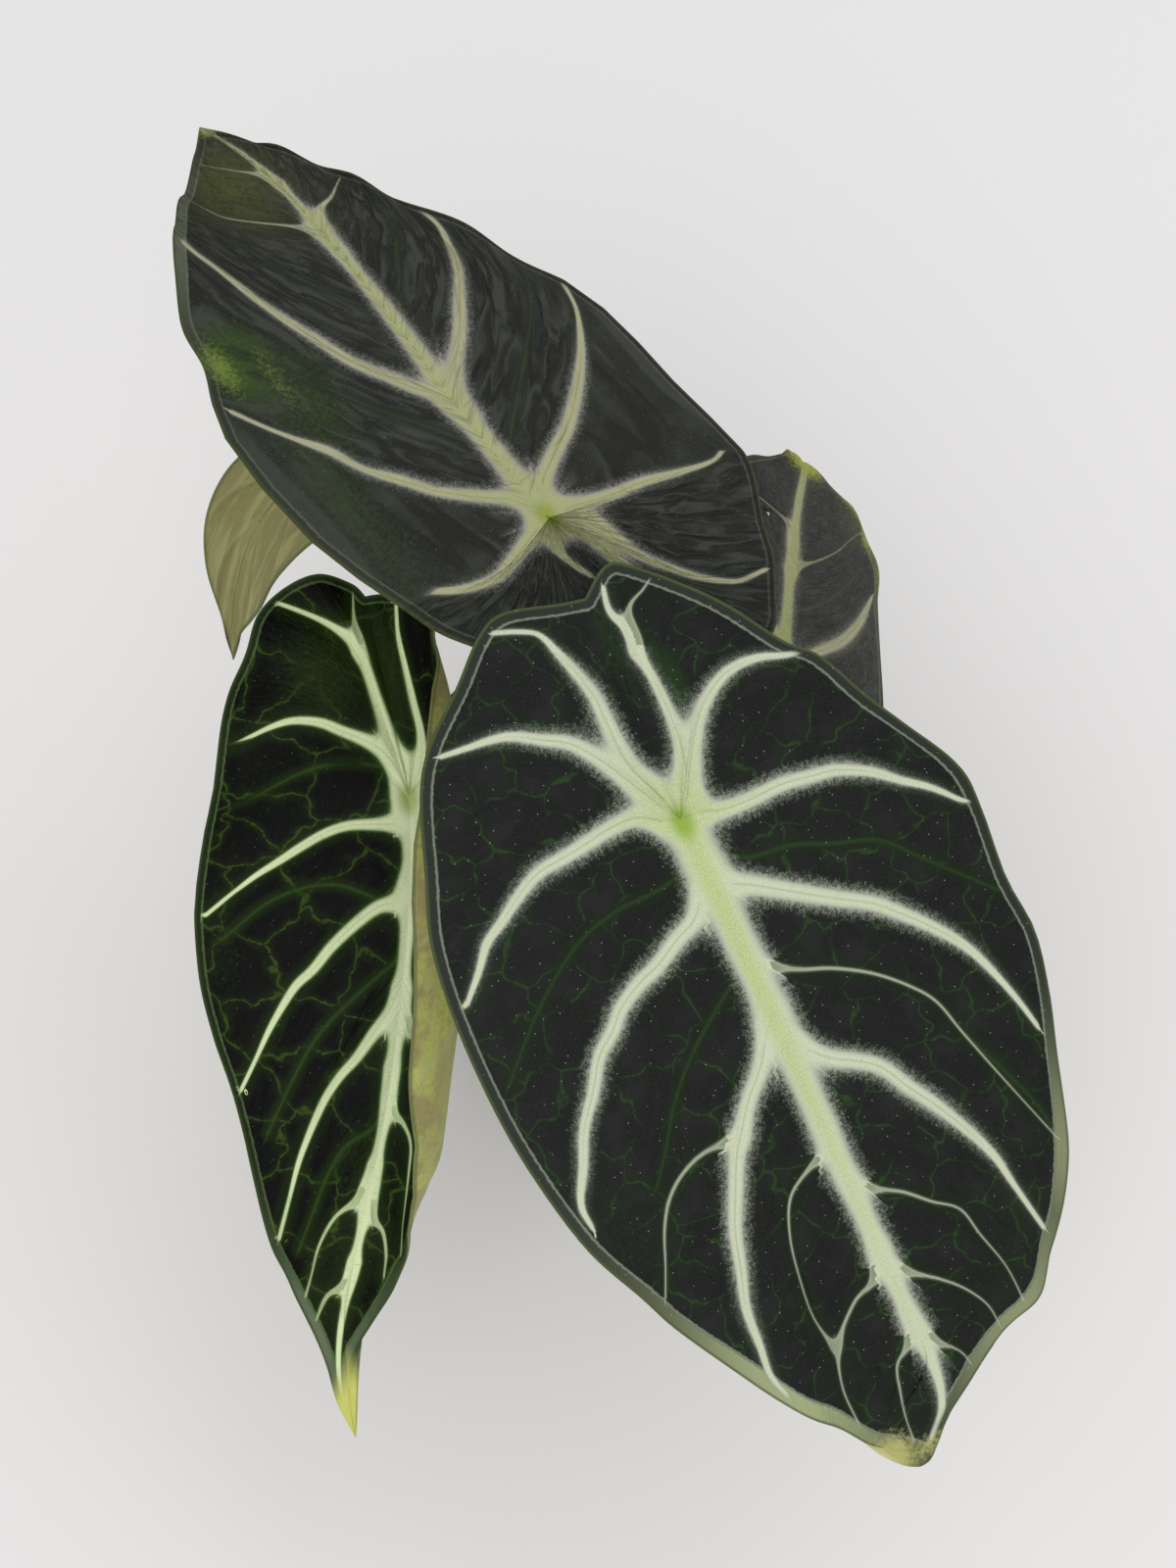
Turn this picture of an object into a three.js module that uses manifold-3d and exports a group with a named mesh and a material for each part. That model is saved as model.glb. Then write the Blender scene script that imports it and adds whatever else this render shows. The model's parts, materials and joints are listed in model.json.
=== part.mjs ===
// Potted ninja alocasia. Millimetres, Z up, origin at the middle of the pot's base.
// Five dark velvet leaves stand on slender petioles that rise from a short corm
// in a small plastic nursery pot filled with potting mix.
import * as THREE from 'three';
import { mergeGeometries, mergeVertices } from 'three/addons/utils/BufferGeometryUtils.js';
import Module from 'manifold-3d';

const wasm = await Module();
wasm.setup();

const potHeight = 85;
const potFloor = 1.8;
const drainHoleRadius = 3.2;
const drainHoleRing = 21;
const drainHoleCount = 8;

const soilTop = 73;
const soilRelief = 1.1;
const seatGap = 0.3;

const bladeThickness = 0.8;
const ribHeight = 0.55;
const midribHeight = 1.3;
const pillowHeight = 0.7;
const ribHalfWidth = 0.014;

const corm = { radius: 3.6, top: soilTop + 4, depth: 12 };
const stalkRing = 8.2;
const stalkBaseRadius = 2.9;
const stalkTopRadius = 1.9;
const stalkDepth = 11;

// A leaf lies flat in its own plane: x runs along the midrib from the petiole
// to the tip, y to the leaf's left. Margin points go from the basal notch to the tip.
// A vein is [margin point it ends at, start along the midrib, two points on its way].
const leaves = {
  front_leaf: {
    insertion: [8.8, -38.1, 147.3],
    heading: -59.5,
    droop: 35.7,
    roll: 8,
    arch: [[-45, -11], [0, -6], [120, 6]],
    foldLeft: [[0, 5], [50, -6]],
    foldRight: [[0, 5], [50, -6]],
    ripple: [0.9, 7, 0.4],
    rowStep: 0.075,
    tail: { from: 1.9, drop: 5 },
    midrib: [[0, 0], [52, 0], [104, 0.5], [112, 0.5], [117, -1.2], [121, -4], [123.6, -7], [123.6, -10.6],
      [121.2, -13.4], [118, -15.9]],
    left: {
      margin: [[-41, 1.5], [-44.5, 7], [-42.5, 11.5], [-31.5, 21.5], [-20.5, 29], [-15.5, 33.5], [-7, 37.5],
        [1.5, 42.5], [11.5, 47.5], [20, 49], [34, 48], [45, 49], [56, 47], [66, 44], [77, 40.5], [84.5, 37.5],
        [92, 33.5], [98, 29.5], [102.5, 26], [106, 22], [108.3, 17], [110.3, 11.5], [114.5, 5], [119, -1],
        [122.5, -4], [125.2, -7], [124.6, -10.6], [121.6, -13.8], [118, -15.9]],
      veins: [[2, 0, [-13, 5.5], [-29, 6]], [5, 0, [-15, 10.5], [-19.5, 21]],
        [9, 0, [2, 13], [4.5, 30]], [13, 9, [22.5, 16.5], [39, 34]],
        [15, 27, [38, 18], [57, 30]], [17, 41, [53.5, 13], [73, 23.5]],
        [19, 70, [79, 11], [92, 18]], [20, 84, [93, 7.5], [101, 13]], [21, 98, [105, 4], [110, 7]]],
    },
    right: {
      margin: [[-41, 1.5], [-42, -2.5], [-44.5, -12], [-43, -17.5], [-36.5, -25], [-29.5, -33.5],
        [-22.5, -38.5], [-10, -43.5], [0.5, -47.5], [13, -49.5], [29, -50], [43, -49], [59, -46], [71.5, -41],
        [79.5, -38], [91.5, -32], [101.5, -26.5], [108.5, -21], [115, -16.4], [118.7, -12.4], [122, -8.6],
        [122.4, -10.4], [120.4, -13], [118, -15.9]],
      veins: [[3, 0, [-15.5, -4.5], [-30, -5.5]], [5, 0, [-14, -7.5], [-23.5, -18]],
        [9, 0, [-4, -14.5], [-1, -30]], [12, 11, [22.5, -20], [37, -35]],
        [16, 38, [54, -14.5], [75, -23.5]], [17, 62, [70, -11.5], [88, -15.5]],
        [18, 86, [94, -12], [104, -16]], [19, 101, [106, -5], [113, -8.5]]],
    },
  },
  upper_leaf: {
    insertion: [-14, 17.2, 158.4],
    heading: 126.5,
    droop: -2.1,
    roll: 8,
    arch: [[-45, -9], [0, -5], [115, 5.5]],
    sweep: [[0, 3.5], [20, -1], [40, -4.5], [70, -3], [90, 0], [112, 12]],
    foldLeft: [[0, 5], [42, -5.5]],
    foldRight: [[0, 5], [42, -5.5]],
    ripple: [0.8, 8, 1.1],
    rowStep: 0.1,
    midrib: [[0, 0], [118, 0]],
    left: {
      margin: [[-33, 0], [-39, 6], [-37, 14], [-28, 22], [-15, 28.5], [-1.5, 34.5], [6, 37], [15, 39.5],
        [27, 41], [38, 41.5], [47, 40], [57, 37], [68.5, 35.5], [82, 30], [91, 25.5], [98.5, 21], [104, 15.5],
        [110, 9], [114.5, 4], [118, 0]],
      veins: [[1.5, 0, [-12, 3], [-26, 5]], [5, 0, [-4, 11.5], [-4.5, 22]], [10, 3, [17, 17], [31.5, 28.5]],
        [14, 30, [47, 13], [70, 21.5]], [16, 76, [83, 5.5], [92, 14.5]]],
    },
    right: {
      margin: [[-33, 0], [-40, -5], [-42.5, -13], [-39, -21.5], [-31, -28], [-21, -34.5], [-7, -41.3],
        [4, -41], [20, -40], [34, -39.5], [47.5, -35.5], [58, -29], [68.5, -24.5], [79.5, -18], [90.5, -12.5],
        [101, -7.5], [110, -3], [118, 0]],
      veins: [[2, 0, [-14, -4], [-29, -8]], [4, 0, [-12, -7.5], [-24, -14.5]], [6, 0, [-3, -14], [-5.5, -28]],
        [10, 3, [14.5, -15], [29, -28]], [13, 35, [48, -12], [62, -19]], [15, 78, [87, -4.5], [95, -7]]],
    },
  },
  left_leaf: {
    insertion: [-40.3, -18.3, 120.7],
    heading: -98,
    droop: 35.1,
    roll: -8,
    arch: [[-45, -10], [0, -6], [120, 6]],
    sweep: [[-40, 20], [-8, 20], [6, 8], [20, 3], [50, 0], [70, -4], [100, -4], [115, 0]],
    foldLeft: [[0, 0], [36, 190]],
    foldRight: [[0, 3], [40, -9]],
    curlAlong: [[-38, 0.8], [-25, 0.95], [10, 0.99], [45, 1.04], [60, 1.1], [70, 1.25], [79, 1.5],
      [96, 1.45], [110, 1.3], [124, 1]],
    ripple: [0.5, 6, 0.2],
    rowStep: 0.1,
    midrib: [[0, 0], [30, -0.3], [60, -1], [90, -2], [104, -2.2], [115, -0.6], [124, 3.2]],
    left: {
      margin: [[-38, 0.5], [-37.5, 4], [-35.5, 9], [-31, 14], [-25, 20], [-17, 25], [-8, 29], [2, 32],
        [12, 34], [24, 32.5], [36, 31], [48, 30], [60, 26], [70, 20.5], [79, 13], [86.5, 8.6], [93.5, 6.4],
        [100, 3.8], [107, 1.2], [115, 1.2], [124, 3.2]],
      veins: [[1.5, 0, [-12, 4], [-25, 5]], [5, 0, [-6, 9], [-12, 17]], [9, 3, [9, 12], [17, 24]],
        [11.2, 18, [27, 12], [39, 22]], [13, 38, [50, 7.5], [61, 14]], [15, 70, [76.5, 1.5], [82, 5]],
        [17, 90, [94, -0.4], [97, 1.8]]],
    },
    right: {
      margin: [[-38, 0.5], [-41, -1.5], [-44, -7], [-43, -14], [-39.5, -19.5], [-33, -23.5], [-26.5, -28.5],
        [-17.5, -32.5], [-6, -36.5], [5, -38.3], [15.5, -39.5], [25, -39.8], [38, -38], [49, -34.5],
        [60, -29.8], [74.5, -24], [88, -18], [97, -12], [104, -7.2], [110.5, -3.8], [118, -0.8],
        [124, 3.2]],
      veins: [[3.4, 0, [-17, -2], [-31, -4.5]], [7, 0, [-13, -7.5], [-18.5, -18.5]],
        [11, 4, [5.5, -13], [12.5, -25]], [14, 18, [28, -13.5], [42, -22.5]],
        [16, 38, [53, -9.5], [70, -13.5]],
        [17, 75, [82, -6.5], [91, -9]]],
    },
  },
  right_leaf: {
    insertion: [27, -7.2, 129.4],
    heading: 81,
    droop: 16.7,
    roll: 22,
    arch: [[-30, -7], [0, -4], [82, 6], [94, 50], [106, 75]],
    foldLeft: [[0, 6], [32, -7]],
    foldRight: [[0, -14], [30, -29]],
    ripple: [0.7, 6, 0.5],
    rowStep: 0.12,
    midrib: [[0, 0], [102, 0]],
    hole: [58, 8, 1.2],
    left: {
      margin: [[-22, 0], [-26, 7], [-21, 17], [-10, 24.5], [4, 29], [19, 31], [34, 30.5], [48, 28],
        [60, 22.5], [70, 17], [77, 12.2], [83, 7.2], [88, 3.2], [94, 1.6], [102, 0]],
      veins: [[1.5, 0, [-8, 4], [-17, 8]], [3.3, 0, [-3, 9], [-7, 18]], [5.6, 3, [8, 12], [15, 22]],
        [8.2, 18, [31, 12], [47, 19.5]], [10, 44, [54, 9], [66, 13.5]], [11.5, 66, [72, 3.5], [77, 7.5]]],
    },
    right: {
      margin: [[-22, 0], [-26, -7], [-22, -16], [-12, -23], [2, -27.5], [17, -29.5], [32, -29], [46, -27.5],
        [60, -25.5], [71, -23.8], [81, -21], [90, -16.5], [96, -10.5], [100, -4.5], [102, 0]],
      veins: [[1.5, 0, [-8, -4], [-17, -8]], [3.3, 0, [-3, -9], [-7, -18]],
        [5.6, 3, [8, -12], [15, -22]], [8.2, 18, [31, -12], [47, -19.5]],
        [10, 44, [54, -9], [67, -15.5]], [11.5, 66, [74, -6], [82, -10.5]]],
    },
  },
  far_leaf: {
    insertion: [-57, 65, 117],
    heading: -160.5,
    droop: 65.5,
    roll: 125,
    arch: [[-30, -25], [0, -15], [70, 20]],
    sweep: [[0, 28], [20, 18], [40, 0], [70, -25]],
    foldLeft: [[0, 6], [13, -4]],
    foldRight: [[0, -36], [13, -62]],
    ripple: [0.4, 4, 0.9],
    rowStep: 0.16,
    climb: 0.9,
    tuck: 0.15,
    midrib: [[0, 0], [72, 0]],
    left: {
      margin: [[-12, 0], [-15, 3.5], [-12, 7.5], [-4, 10], [6, 11.3], [18, 12], [30, 12.2], [41, 11], [51, 8],
        [59, 4.5], [66, 1.8], [72, 0]],
      veins: [[2, 0, [-4, 3], [-8, 6]], [5, 1, [6, 5], [12, 9.5]], [7, 14, [22, 5], [31, 9]],
        [9, 32, [40, 3], [49, 5]]],
    },
    right: {
      margin: [[-12, 0], [-15, -4], [-12, -8.5], [-4, -11.5], [6, -13.5], [18, -14.5], [30, -14.5], [41, -13],
        [51, -10.5], [59, -6.5], [66, -2.5], [72, 0]],
      veins: [[2, 0, [-4, -3], [-8, -6]], [5, 1, [6, -5], [12, -9.5]], [7, 14, [22, -5], [31, -9]],
        [9, 32, [40, -3], [49, -5]]],
    },
  },
};

// Share of the way from the midrib (0) to the margin (1) at each column of a blade.
const columns = [0, 0.05, 0.22, 0.46, 0.72, 0.92, 1];

const skins = {
  pot: { color: 0x2b2b2c, roughness: 0.55, metalness: 0 },
  soil: { color: 0x33261b, roughness: 1, metalness: 0 },
  corm: { color: 0x6b5a3a, roughness: 0.8, metalness: 0 },
  stalk: { color: 0x8a9a5c, roughness: 0.5, metalness: 0 },
  velvet: { color: 0x2a2d29, roughness: 0.75, metalness: 0 },
  satin: { color: 0x14180f, roughness: 0.35, metalness: 0 },
  pale: { color: 0x87905a, roughness: 0.6, metalness: 0 },
};

const rad = THREE.MathUtils.degToRad;

function skin(name) {
  return new THREE.MeshStandardMaterial({ name, ...skins[name] });
}

// Straight lines between [at, value] pairs, held level past both ends.
function keyed(keys, x) {
  if (x <= keys[0][0]) return keys[0][1];
  for (let i = 1; i < keys.length; i += 1) {
    const [x1, v1] = keys[i];
    const [x0, v0] = keys[i - 1];
    if (x <= x1) return v0 + ((v1 - v0) * (x - x0)) / (x1 - x0);
  }
  return keys[keys.length - 1][1];
}

function spline(points) {
  return new THREE.SplineCurve(points.map((p) => new THREE.Vector2(p[0], p[1])));
}

// A solid from a closed mesh, and a mesh geometry from a solid.
function toSolid(geometry) {
  const bare = new THREE.BufferGeometry();
  bare.setAttribute('position', geometry.getAttribute('position').clone());
  if (geometry.index) bare.setIndex(geometry.index.clone());
  const merged = mergeVertices(bare, 1e-4);
  const corners = [];
  for (let i = 0; i < merged.index.count; i += 3) {
    const [a, b, c] = merged.index.array.slice(i, i + 3);
    if (a !== b && b !== c && c !== a) corners.push(a, b, c);
  }
  return new wasm.Manifold(new wasm.Mesh({
    numProp: 3,
    vertProperties: new Float32Array(merged.getAttribute('position').array),
    triVerts: new Uint32Array(corners),
  }));
}

function toGeometry(solid) {
  const mesh = solid.getMesh();
  const geometry = new THREE.BufferGeometry();
  geometry.setAttribute('position', new THREE.BufferAttribute(new Float32Array(mesh.vertProperties), 3));
  geometry.setIndex(new THREE.BufferAttribute(new Uint32Array(mesh.triVerts), 1));
  geometry.computeVertexNormals();
  return geometry;
}

function upright(geometry) {
  return geometry.rotateX(Math.PI / 2);
}

// Lathe about the Z axis from [radius, height] points that start and end on the axis.
function turned(profile, segments) {
  return upright(new THREE.LatheGeometry(profile.map((p) => new THREE.Vector2(p[0], p[1])), segments));
}

function post(radius, bottom, top, x, y, sides = 24) {
  const shape = upright(new THREE.CylinderGeometry(radius, radius, top - bottom, sides));
  return shape.translate(x, y, (top + bottom) / 2);
}

function makePot() {
  const lip = [[44.2, 75.8], [44.9, 83.6], [44.8, 84.6], [44.2, potHeight], [43.5, 84.8], [43.2, 83.8]];
  const outside = [[0, 0], [31.2, 0], [32.2, 0.9], [40.8, 74.2], ...lip];
  const inside = [[42.8, 76.8], [40, 74.6], [31.3, potFloor + 0.6], [30.6, potFloor], [0, potFloor]];
  let solid = toSolid(turned([...outside, ...inside], 48));
  for (let i = 0; i < drainHoleCount; i += 1) {
    const a = (i / drainHoleCount) * 2 * Math.PI;
    const hole = post(drainHoleRadius, -2, 5, drainHoleRing * Math.cos(a), drainHoleRing * Math.sin(a), 12);
    solid = solid.subtract(toSolid(hole));
  }
  return toGeometry(solid);
}

function potInnerRadius(z) {
  return 31.3 + ((40 - 31.3) * (z - potFloor - 0.6)) / (74.6 - potFloor - 0.6);
}

function stalkFoot(index) {
  const a = rad(stalkAngles[index]);
  return new THREE.Vector3(stalkRing * Math.cos(a), stalkRing * Math.sin(a), soilTop);
}

function soilHeight(x, y) {
  const lumps = Math.sin(x * 0.55 + 1.3) * Math.cos(y * 0.62) + 0.6 * Math.sin(x * 1.1 - y * 0.9 + 0.5);
  return soilTop + soilRelief * (0.6 * lumps - 0.4);
}

function makeSoil() {
  const bottom = potFloor + seatGap;
  const top = soilTop - 1.5;
  const rings = [6, 12, 18, 24, 30, 35];
  const wallTop = potInnerRadius(top) - seatGap;
  const profile = [[0, bottom], [potInnerRadius(bottom) - 1.3, bottom],
    [potInnerRadius(bottom + 1) - seatGap, bottom + 1], [wallTop, top],
    ...rings.reverse().map((r) => [r, soilTop]), [0, soilTop]];
  const shape = turned(profile, 36);
  const p = shape.getAttribute('position');
  for (let i = 0; i < p.count; i += 1) {
    if (p.getZ(i) > top + 0.1) p.setZ(i, soilHeight(p.getX(i), p.getY(i)));
  }
  const cormHole = post(corm.radius + seatGap, soilTop - corm.depth - seatGap, potHeight, 0, 0, 16);
  let solid = toSolid(shape).subtract(toSolid(cormHole));
  stalkAngles.forEach((_, i) => {
    const foot = stalkFoot(i);
    const depth = soilTop - stalkDepth - seatGap;
    const hole = post(stalkBaseRadius + seatGap, depth, potHeight, foot.x, foot.y, 16);
    solid = solid.subtract(toSolid(hole));
  });
  return toGeometry(solid);
}

function makeCorm() {
  const r = corm.radius;
  const foot = soilTop - corm.depth;
  return turned([[0, foot], [r * 0.7, foot + 0.6], [r * 0.96, foot + 4], [r * 0.96, soilTop],
    [r * 0.8, soilTop + 2], [r * 0.42, corm.top - 0.5], [0, corm.top]], 14);
}

// The bent form of a leaf: arch along the midrib, sweep sideways, fold and curl across.
function makeBend(leaf) {
  const start = -60;
  const spine = [new THREE.Vector3(0, 0, 0)];
  const arch = (x) => rad(keyed(leaf.arch, x));
  const sweep = (x) => rad(keyed(leaf.sweep || [[0, 0]], x));
  for (let i = 1; i <= 220; i += 1) {
    const x = start + i - 0.5;
    const step = new THREE.Vector3(
      Math.cos(arch(x)) * Math.cos(sweep(x)),
      Math.cos(arch(x)) * Math.sin(sweep(x)),
      -Math.sin(arch(x)),
    );
    spine.push(spine[i - 1].clone().add(step));
  }
  const origin = spine[-start].clone();
  return (x, y) => {
    const at = x - start;
    const i = Math.floor(at);
    const base = spine[i].clone().lerp(spine[i + 1], at - i).sub(origin);
    const a = arch(x);
    const s = sweep(x);
    const across = new THREE.Vector3(-Math.sin(s), Math.cos(s), 0);
    const ahead = new THREE.Vector3(Math.cos(a) * Math.cos(s), Math.cos(a) * Math.sin(s), -Math.sin(a));
    const up = ahead.cross(across);
    const fold = y > 0 ? leaf.foldLeft : leaf.foldRight;
    const ease = y > 0 && leaf.curlAlong ? keyed(leaf.curlAlong, x) : 1;
    const steps = 12;
    for (let k = 0; k < steps; k += 1) {
      const turn = rad(keyed(fold, (Math.abs(y) * (k + 0.5)) / steps)) * ease;
      base.addScaledVector(across, (Math.cos(turn) * y) / steps);
      base.addScaledVector(up, (Math.sin(turn) * Math.abs(y)) / steps);
    }
    return base;
  };
}

// One half of a blade. row runs 0..1 over the fan behind the petiole and 1..2 along the midrib.
function makeSide(leaf, half, midrib) {
  const length = midrib.getLength();
  const last = half.margin.length - 1;
  const margin = spline(half.margin);
  const notch = half.margin[0];
  const tip = half.margin[last];
  const third = (p, k) => [(p[0] * k) / 3, (p[1] * k) / 3];
  const lines = [[0, 0, third(notch, 1), third(notch, 2)], ...half.veins, [last, length, tip, tip]];
  const fanEnd = Math.max(...half.veins.filter((v) => v[1] === 0).map((v) => v[0]));
  const ahead = lines.filter((v) => v[0] >= fanEnd);
  const endToStart = ahead.map((v) => [v[1], v[0]]);
  const column = (pick) => lines.map((v) => [v[0], pick(v)]);
  const startKeys = column((v) => v[1]);
  const via = [[2, 0], [2, 1], [3, 0], [3, 1]].map(([k, c]) => column((v) => v[k][c]));
  const endAt = (row) => (row <= 1 ? row * fanEnd : keyed(endToStart, (row - 1) * length));
  const rowOf = (v) => (v[0] < fanEnd ? v[0] / fanEnd : 1 + v[1] / length);
  const veinRows = half.veins.map(rowOf);
  const flat = (row, share) => {
    const s = endAt(row);
    const root = midrib.getPointAt(Math.min(1, Math.max(0, keyed(startKeys, s) / length)));
    const end = margin.getPoint(s / last);
    const way = spline([[root.x, root.y], [keyed(via[0], s), keyed(via[1], s)],
      [keyed(via[2], s), keyed(via[3], s)], [end.x, end.y]]);
    return way.getPoint(share);
  };
  const quilt = (row, share) => {
    const marks = [0, ...veinRows, 2];
    const i = marks.findIndex((m) => m > row);
    if (i < 1) return 0;
    const part = (row - marks[i - 1]) / (marks[i] - marks[i - 1]);
    return Math.sin(Math.PI * part) * Math.sin(Math.PI * Math.min(1, share * 1.05)) ** 0.7;
  };
  return { veinRows, flat, quilt };
}

function makeBlade(leaf) {
  const midrib = spline(leaf.midrib);
  const bend = makeBend(leaf);
  const sides = { left: makeSide(leaf, leaf.left, midrib), right: makeSide(leaf, leaf.right, midrib) };
  const veinRows = [...sides.left.veinRows, ...sides.right.veinRows];
  const marks = [...new Set(veinRows.map((r) => Number(r.toFixed(4))))];
  const rows = [0, ...marks.flatMap((r) => [r - ribHalfWidth, r, r + ribHalfWidth]), 1.98, 2]
    .filter((r) => r >= 0 && r <= 2)
    .sort((a, b) => a - b)
    .filter((r, i, all) => i === 0 || r - all[i - 1] > 0.004);
  const filled = rows.flatMap((r, i) => {
    const next = rows[i + 1];
    const parts = next === undefined ? 1 : Math.max(1, Math.round((next - r) / leaf.rowStep));
    return Array.from({ length: parts }, (_, k) => r + (k / parts) * (parts > 1 ? next - r : 0));
  });
  const onVein = (side, row) => side.veinRows.some((v) => Math.abs(v - row) < 0.002);

  const place = (row, column, face) => {
    const side = column < 0 ? sides.right : sides.left;
    const share = columns[Math.abs(column)];
    const f = side.flat(row, share);
    const e = 0.2;
    const at = bend(f.x, f.y);
    const dx = bend(f.x + e, f.y).sub(bend(f.x - e, f.y));
    const dy = bend(f.x, f.y + e).sub(bend(f.x, f.y - e));
    const up = dx.cross(dy).normalize();
    const [size, count, phase] = leaf.ripple;
    const ends = Math.min(1, row / 0.25, (2 - row) / 0.25);
    const wave = size * ends * share ** 3 * Math.sin(count * Math.PI * row + phase + (column < 0 ? 1.9 : 0));
    const drop = leaf.tail ? keyed([[leaf.tail.from, 0], [2, leaf.tail.drop]], row) : 0;
    let lift = pillowHeight * side.quilt(row, share) + wave - drop;
    const taper = 1 - 0.75 * Math.max(0, row - 1);
    if (face > 0) {
      lift += bladeThickness / 2;
      if (share === 0) lift -= 0.15;
    } else {
      lift -= bladeThickness / 2;
      if (share === 0) lift -= midribHeight * taper;
      else if (onVein(side, row)) lift -= ribHeight * (1 - 0.7 * share);
    }
    return at.addScaledVector(up, lift);
  };

  const across = columns.length - 1;
  const rowCount = filled.length - 1;
  const sheet = (face) => {
    const shape = new THREE.PlaneGeometry(2 * across, rowCount, 2 * across, rowCount);
    const p = shape.getAttribute('position');
    for (let i = 0; i < p.count; i += 1) {
      const column = Math.round(p.getX(i));
      const row = filled[Math.round(rowCount / 2 - p.getY(i))];
      const at = place(row, column, face);
      p.setXYZ(i, at.x, at.y, at.z);
    }
    if (face < 0) shape.index.array.reverse();
    return shape;
  };
  const edge = (column) => {
    const shape = new THREE.PlaneGeometry(1, rowCount, 1, rowCount);
    const p = shape.getAttribute('position');
    for (let i = 0; i < p.count; i += 1) {
      const row = filled[Math.round(rowCount / 2 - p.getY(i))];
      const face = p.getX(i) * column > 0 ? -1 : 1;
      const at = place(row, column, face);
      p.setXYZ(i, at.x, at.y, at.z);
    }
    return shape;
  };
  const parts = [sheet(1), sheet(-1), edge(across), edge(-across)];
  parts.forEach((g) => {
    g.deleteAttribute('normal');
    g.deleteAttribute('uv');
  });
  let solid = toSolid(mergeGeometries(parts));
  if (leaf.hole) {
    const [x, y, r] = leaf.hole;
    const at = bend(x, y);
    solid = solid.subtract(toSolid(post(r, at.z - 4, at.z + 4, at.x, at.y, 8)));
  }
  return { geometry: toGeometry(solid), rows: filled.length };
}

// Direction each stalk leaves the corm, in degrees round the pot.
const leafNames = Object.keys(leaves);
const stalkAngles = [-80, 95, -152, 5, 150];
const bladeSkins = {
  front_leaf: 'velvet',
  upper_leaf: 'velvet',
  left_leaf: 'satin',
  right_leaf: 'velvet',
  far_leaf: 'pale',
};

function poseOf(leaf) {
  const turn = new THREE.Euler(rad(leaf.roll), rad(leaf.droop), rad(leaf.heading), 'ZYX');
  return { turn, at: new THREE.Vector3(...leaf.insertion) };
}

// A round stalk that rises from its hole in the soil and meets the underside of its blade square on.
function makeStalk(leaf, index) {
  const { turn, at } = poseOf(leaf);
  const [rise, foldL, foldR] = [keyed(leaf.arch, 0), leaf.foldLeft[0][1], leaf.foldRight[0][1]].map(rad);
  const up = new THREE.Vector3(
    Math.sin(rise),
    (Math.sin(foldR) - Math.sin(foldL)) / 2,
    Math.cos(rise) * (Math.cos(foldL) + Math.cos(foldR)) / 2,
  ).normalize().applyEuler(turn);
  const top = at.clone().addScaledVector(up, -(bladeThickness / 2 + midribHeight + seatGap));
  const foot = stalkFoot(index);
  const base = foot.clone().setZ(soilTop - stalkDepth);
  const reach = top.distanceTo(foot);
  const { climb = 0.3, tuck = 0.28 } = leaf;
  const start = foot.clone().setZ(soilTop + 3);
  const lean = new THREE.Vector3(foot.x * 1.1, foot.y * 1.1, soilTop + reach * climb);
  const last = top.clone().addScaledVector(up, -reach * tuck);
  const path = new THREE.CurvePath();
  path.add(new THREE.LineCurve3(base, start));
  path.add(new THREE.CubicBezierCurve3(start, lean, last, top));
  const steps = 16;
  const sides = 8;
  const frames = path.curves[1].computeFrenetFrames(steps, false);
  const shape = new THREE.CylinderGeometry(1, 1, 1, sides, steps + 1);
  const p = shape.getAttribute('position');
  for (let i = 0; i < p.count; i += 1) {
    const level = Math.round((p.getY(i) + 0.5) * (steps + 1));
    const k = Math.max(0, level - 1);
    const centre = level === 0 ? base : path.curves[1].getPointAt(k / steps);
    const grow = THREE.MathUtils.lerp(stalkBaseRadius, stalkTopRadius, k / steps);
    const spot = centre.clone()
      .addScaledVector(frames.normals[k], p.getX(i) * grow)
      .addScaledVector(frames.binormals[k], -p.getZ(i) * grow);
    p.setXYZ(i, spot.x, spot.y, spot.z);
  }
  return toGeometry(toSolid(shape));
}

const plant = new THREE.Group();
plant.name = 'potted_ninja_alocasia';

function put(name, geometry, skinName) {
  const mesh = new THREE.Mesh(geometry, skin(skinName));
  mesh.name = name;
  plant.add(mesh);
  return mesh;
}

put('pot', makePot(), 'pot');
put('soil', makeSoil(), 'soil');
put('corm', makeCorm(), 'corm');
leafNames.forEach((name, i) => {
  const leaf = leaves[name];
  const { turn, at } = poseOf(leaf);
  put(`${name}_stalk`, makeStalk(leaf, i), 'stalk');
  const blade = put(`${name}_blade`, makeBlade(leaf).geometry, bladeSkins[name]);
  blade.position.copy(at);
  blade.rotation.copy(turn);
});

export default plant;
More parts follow.
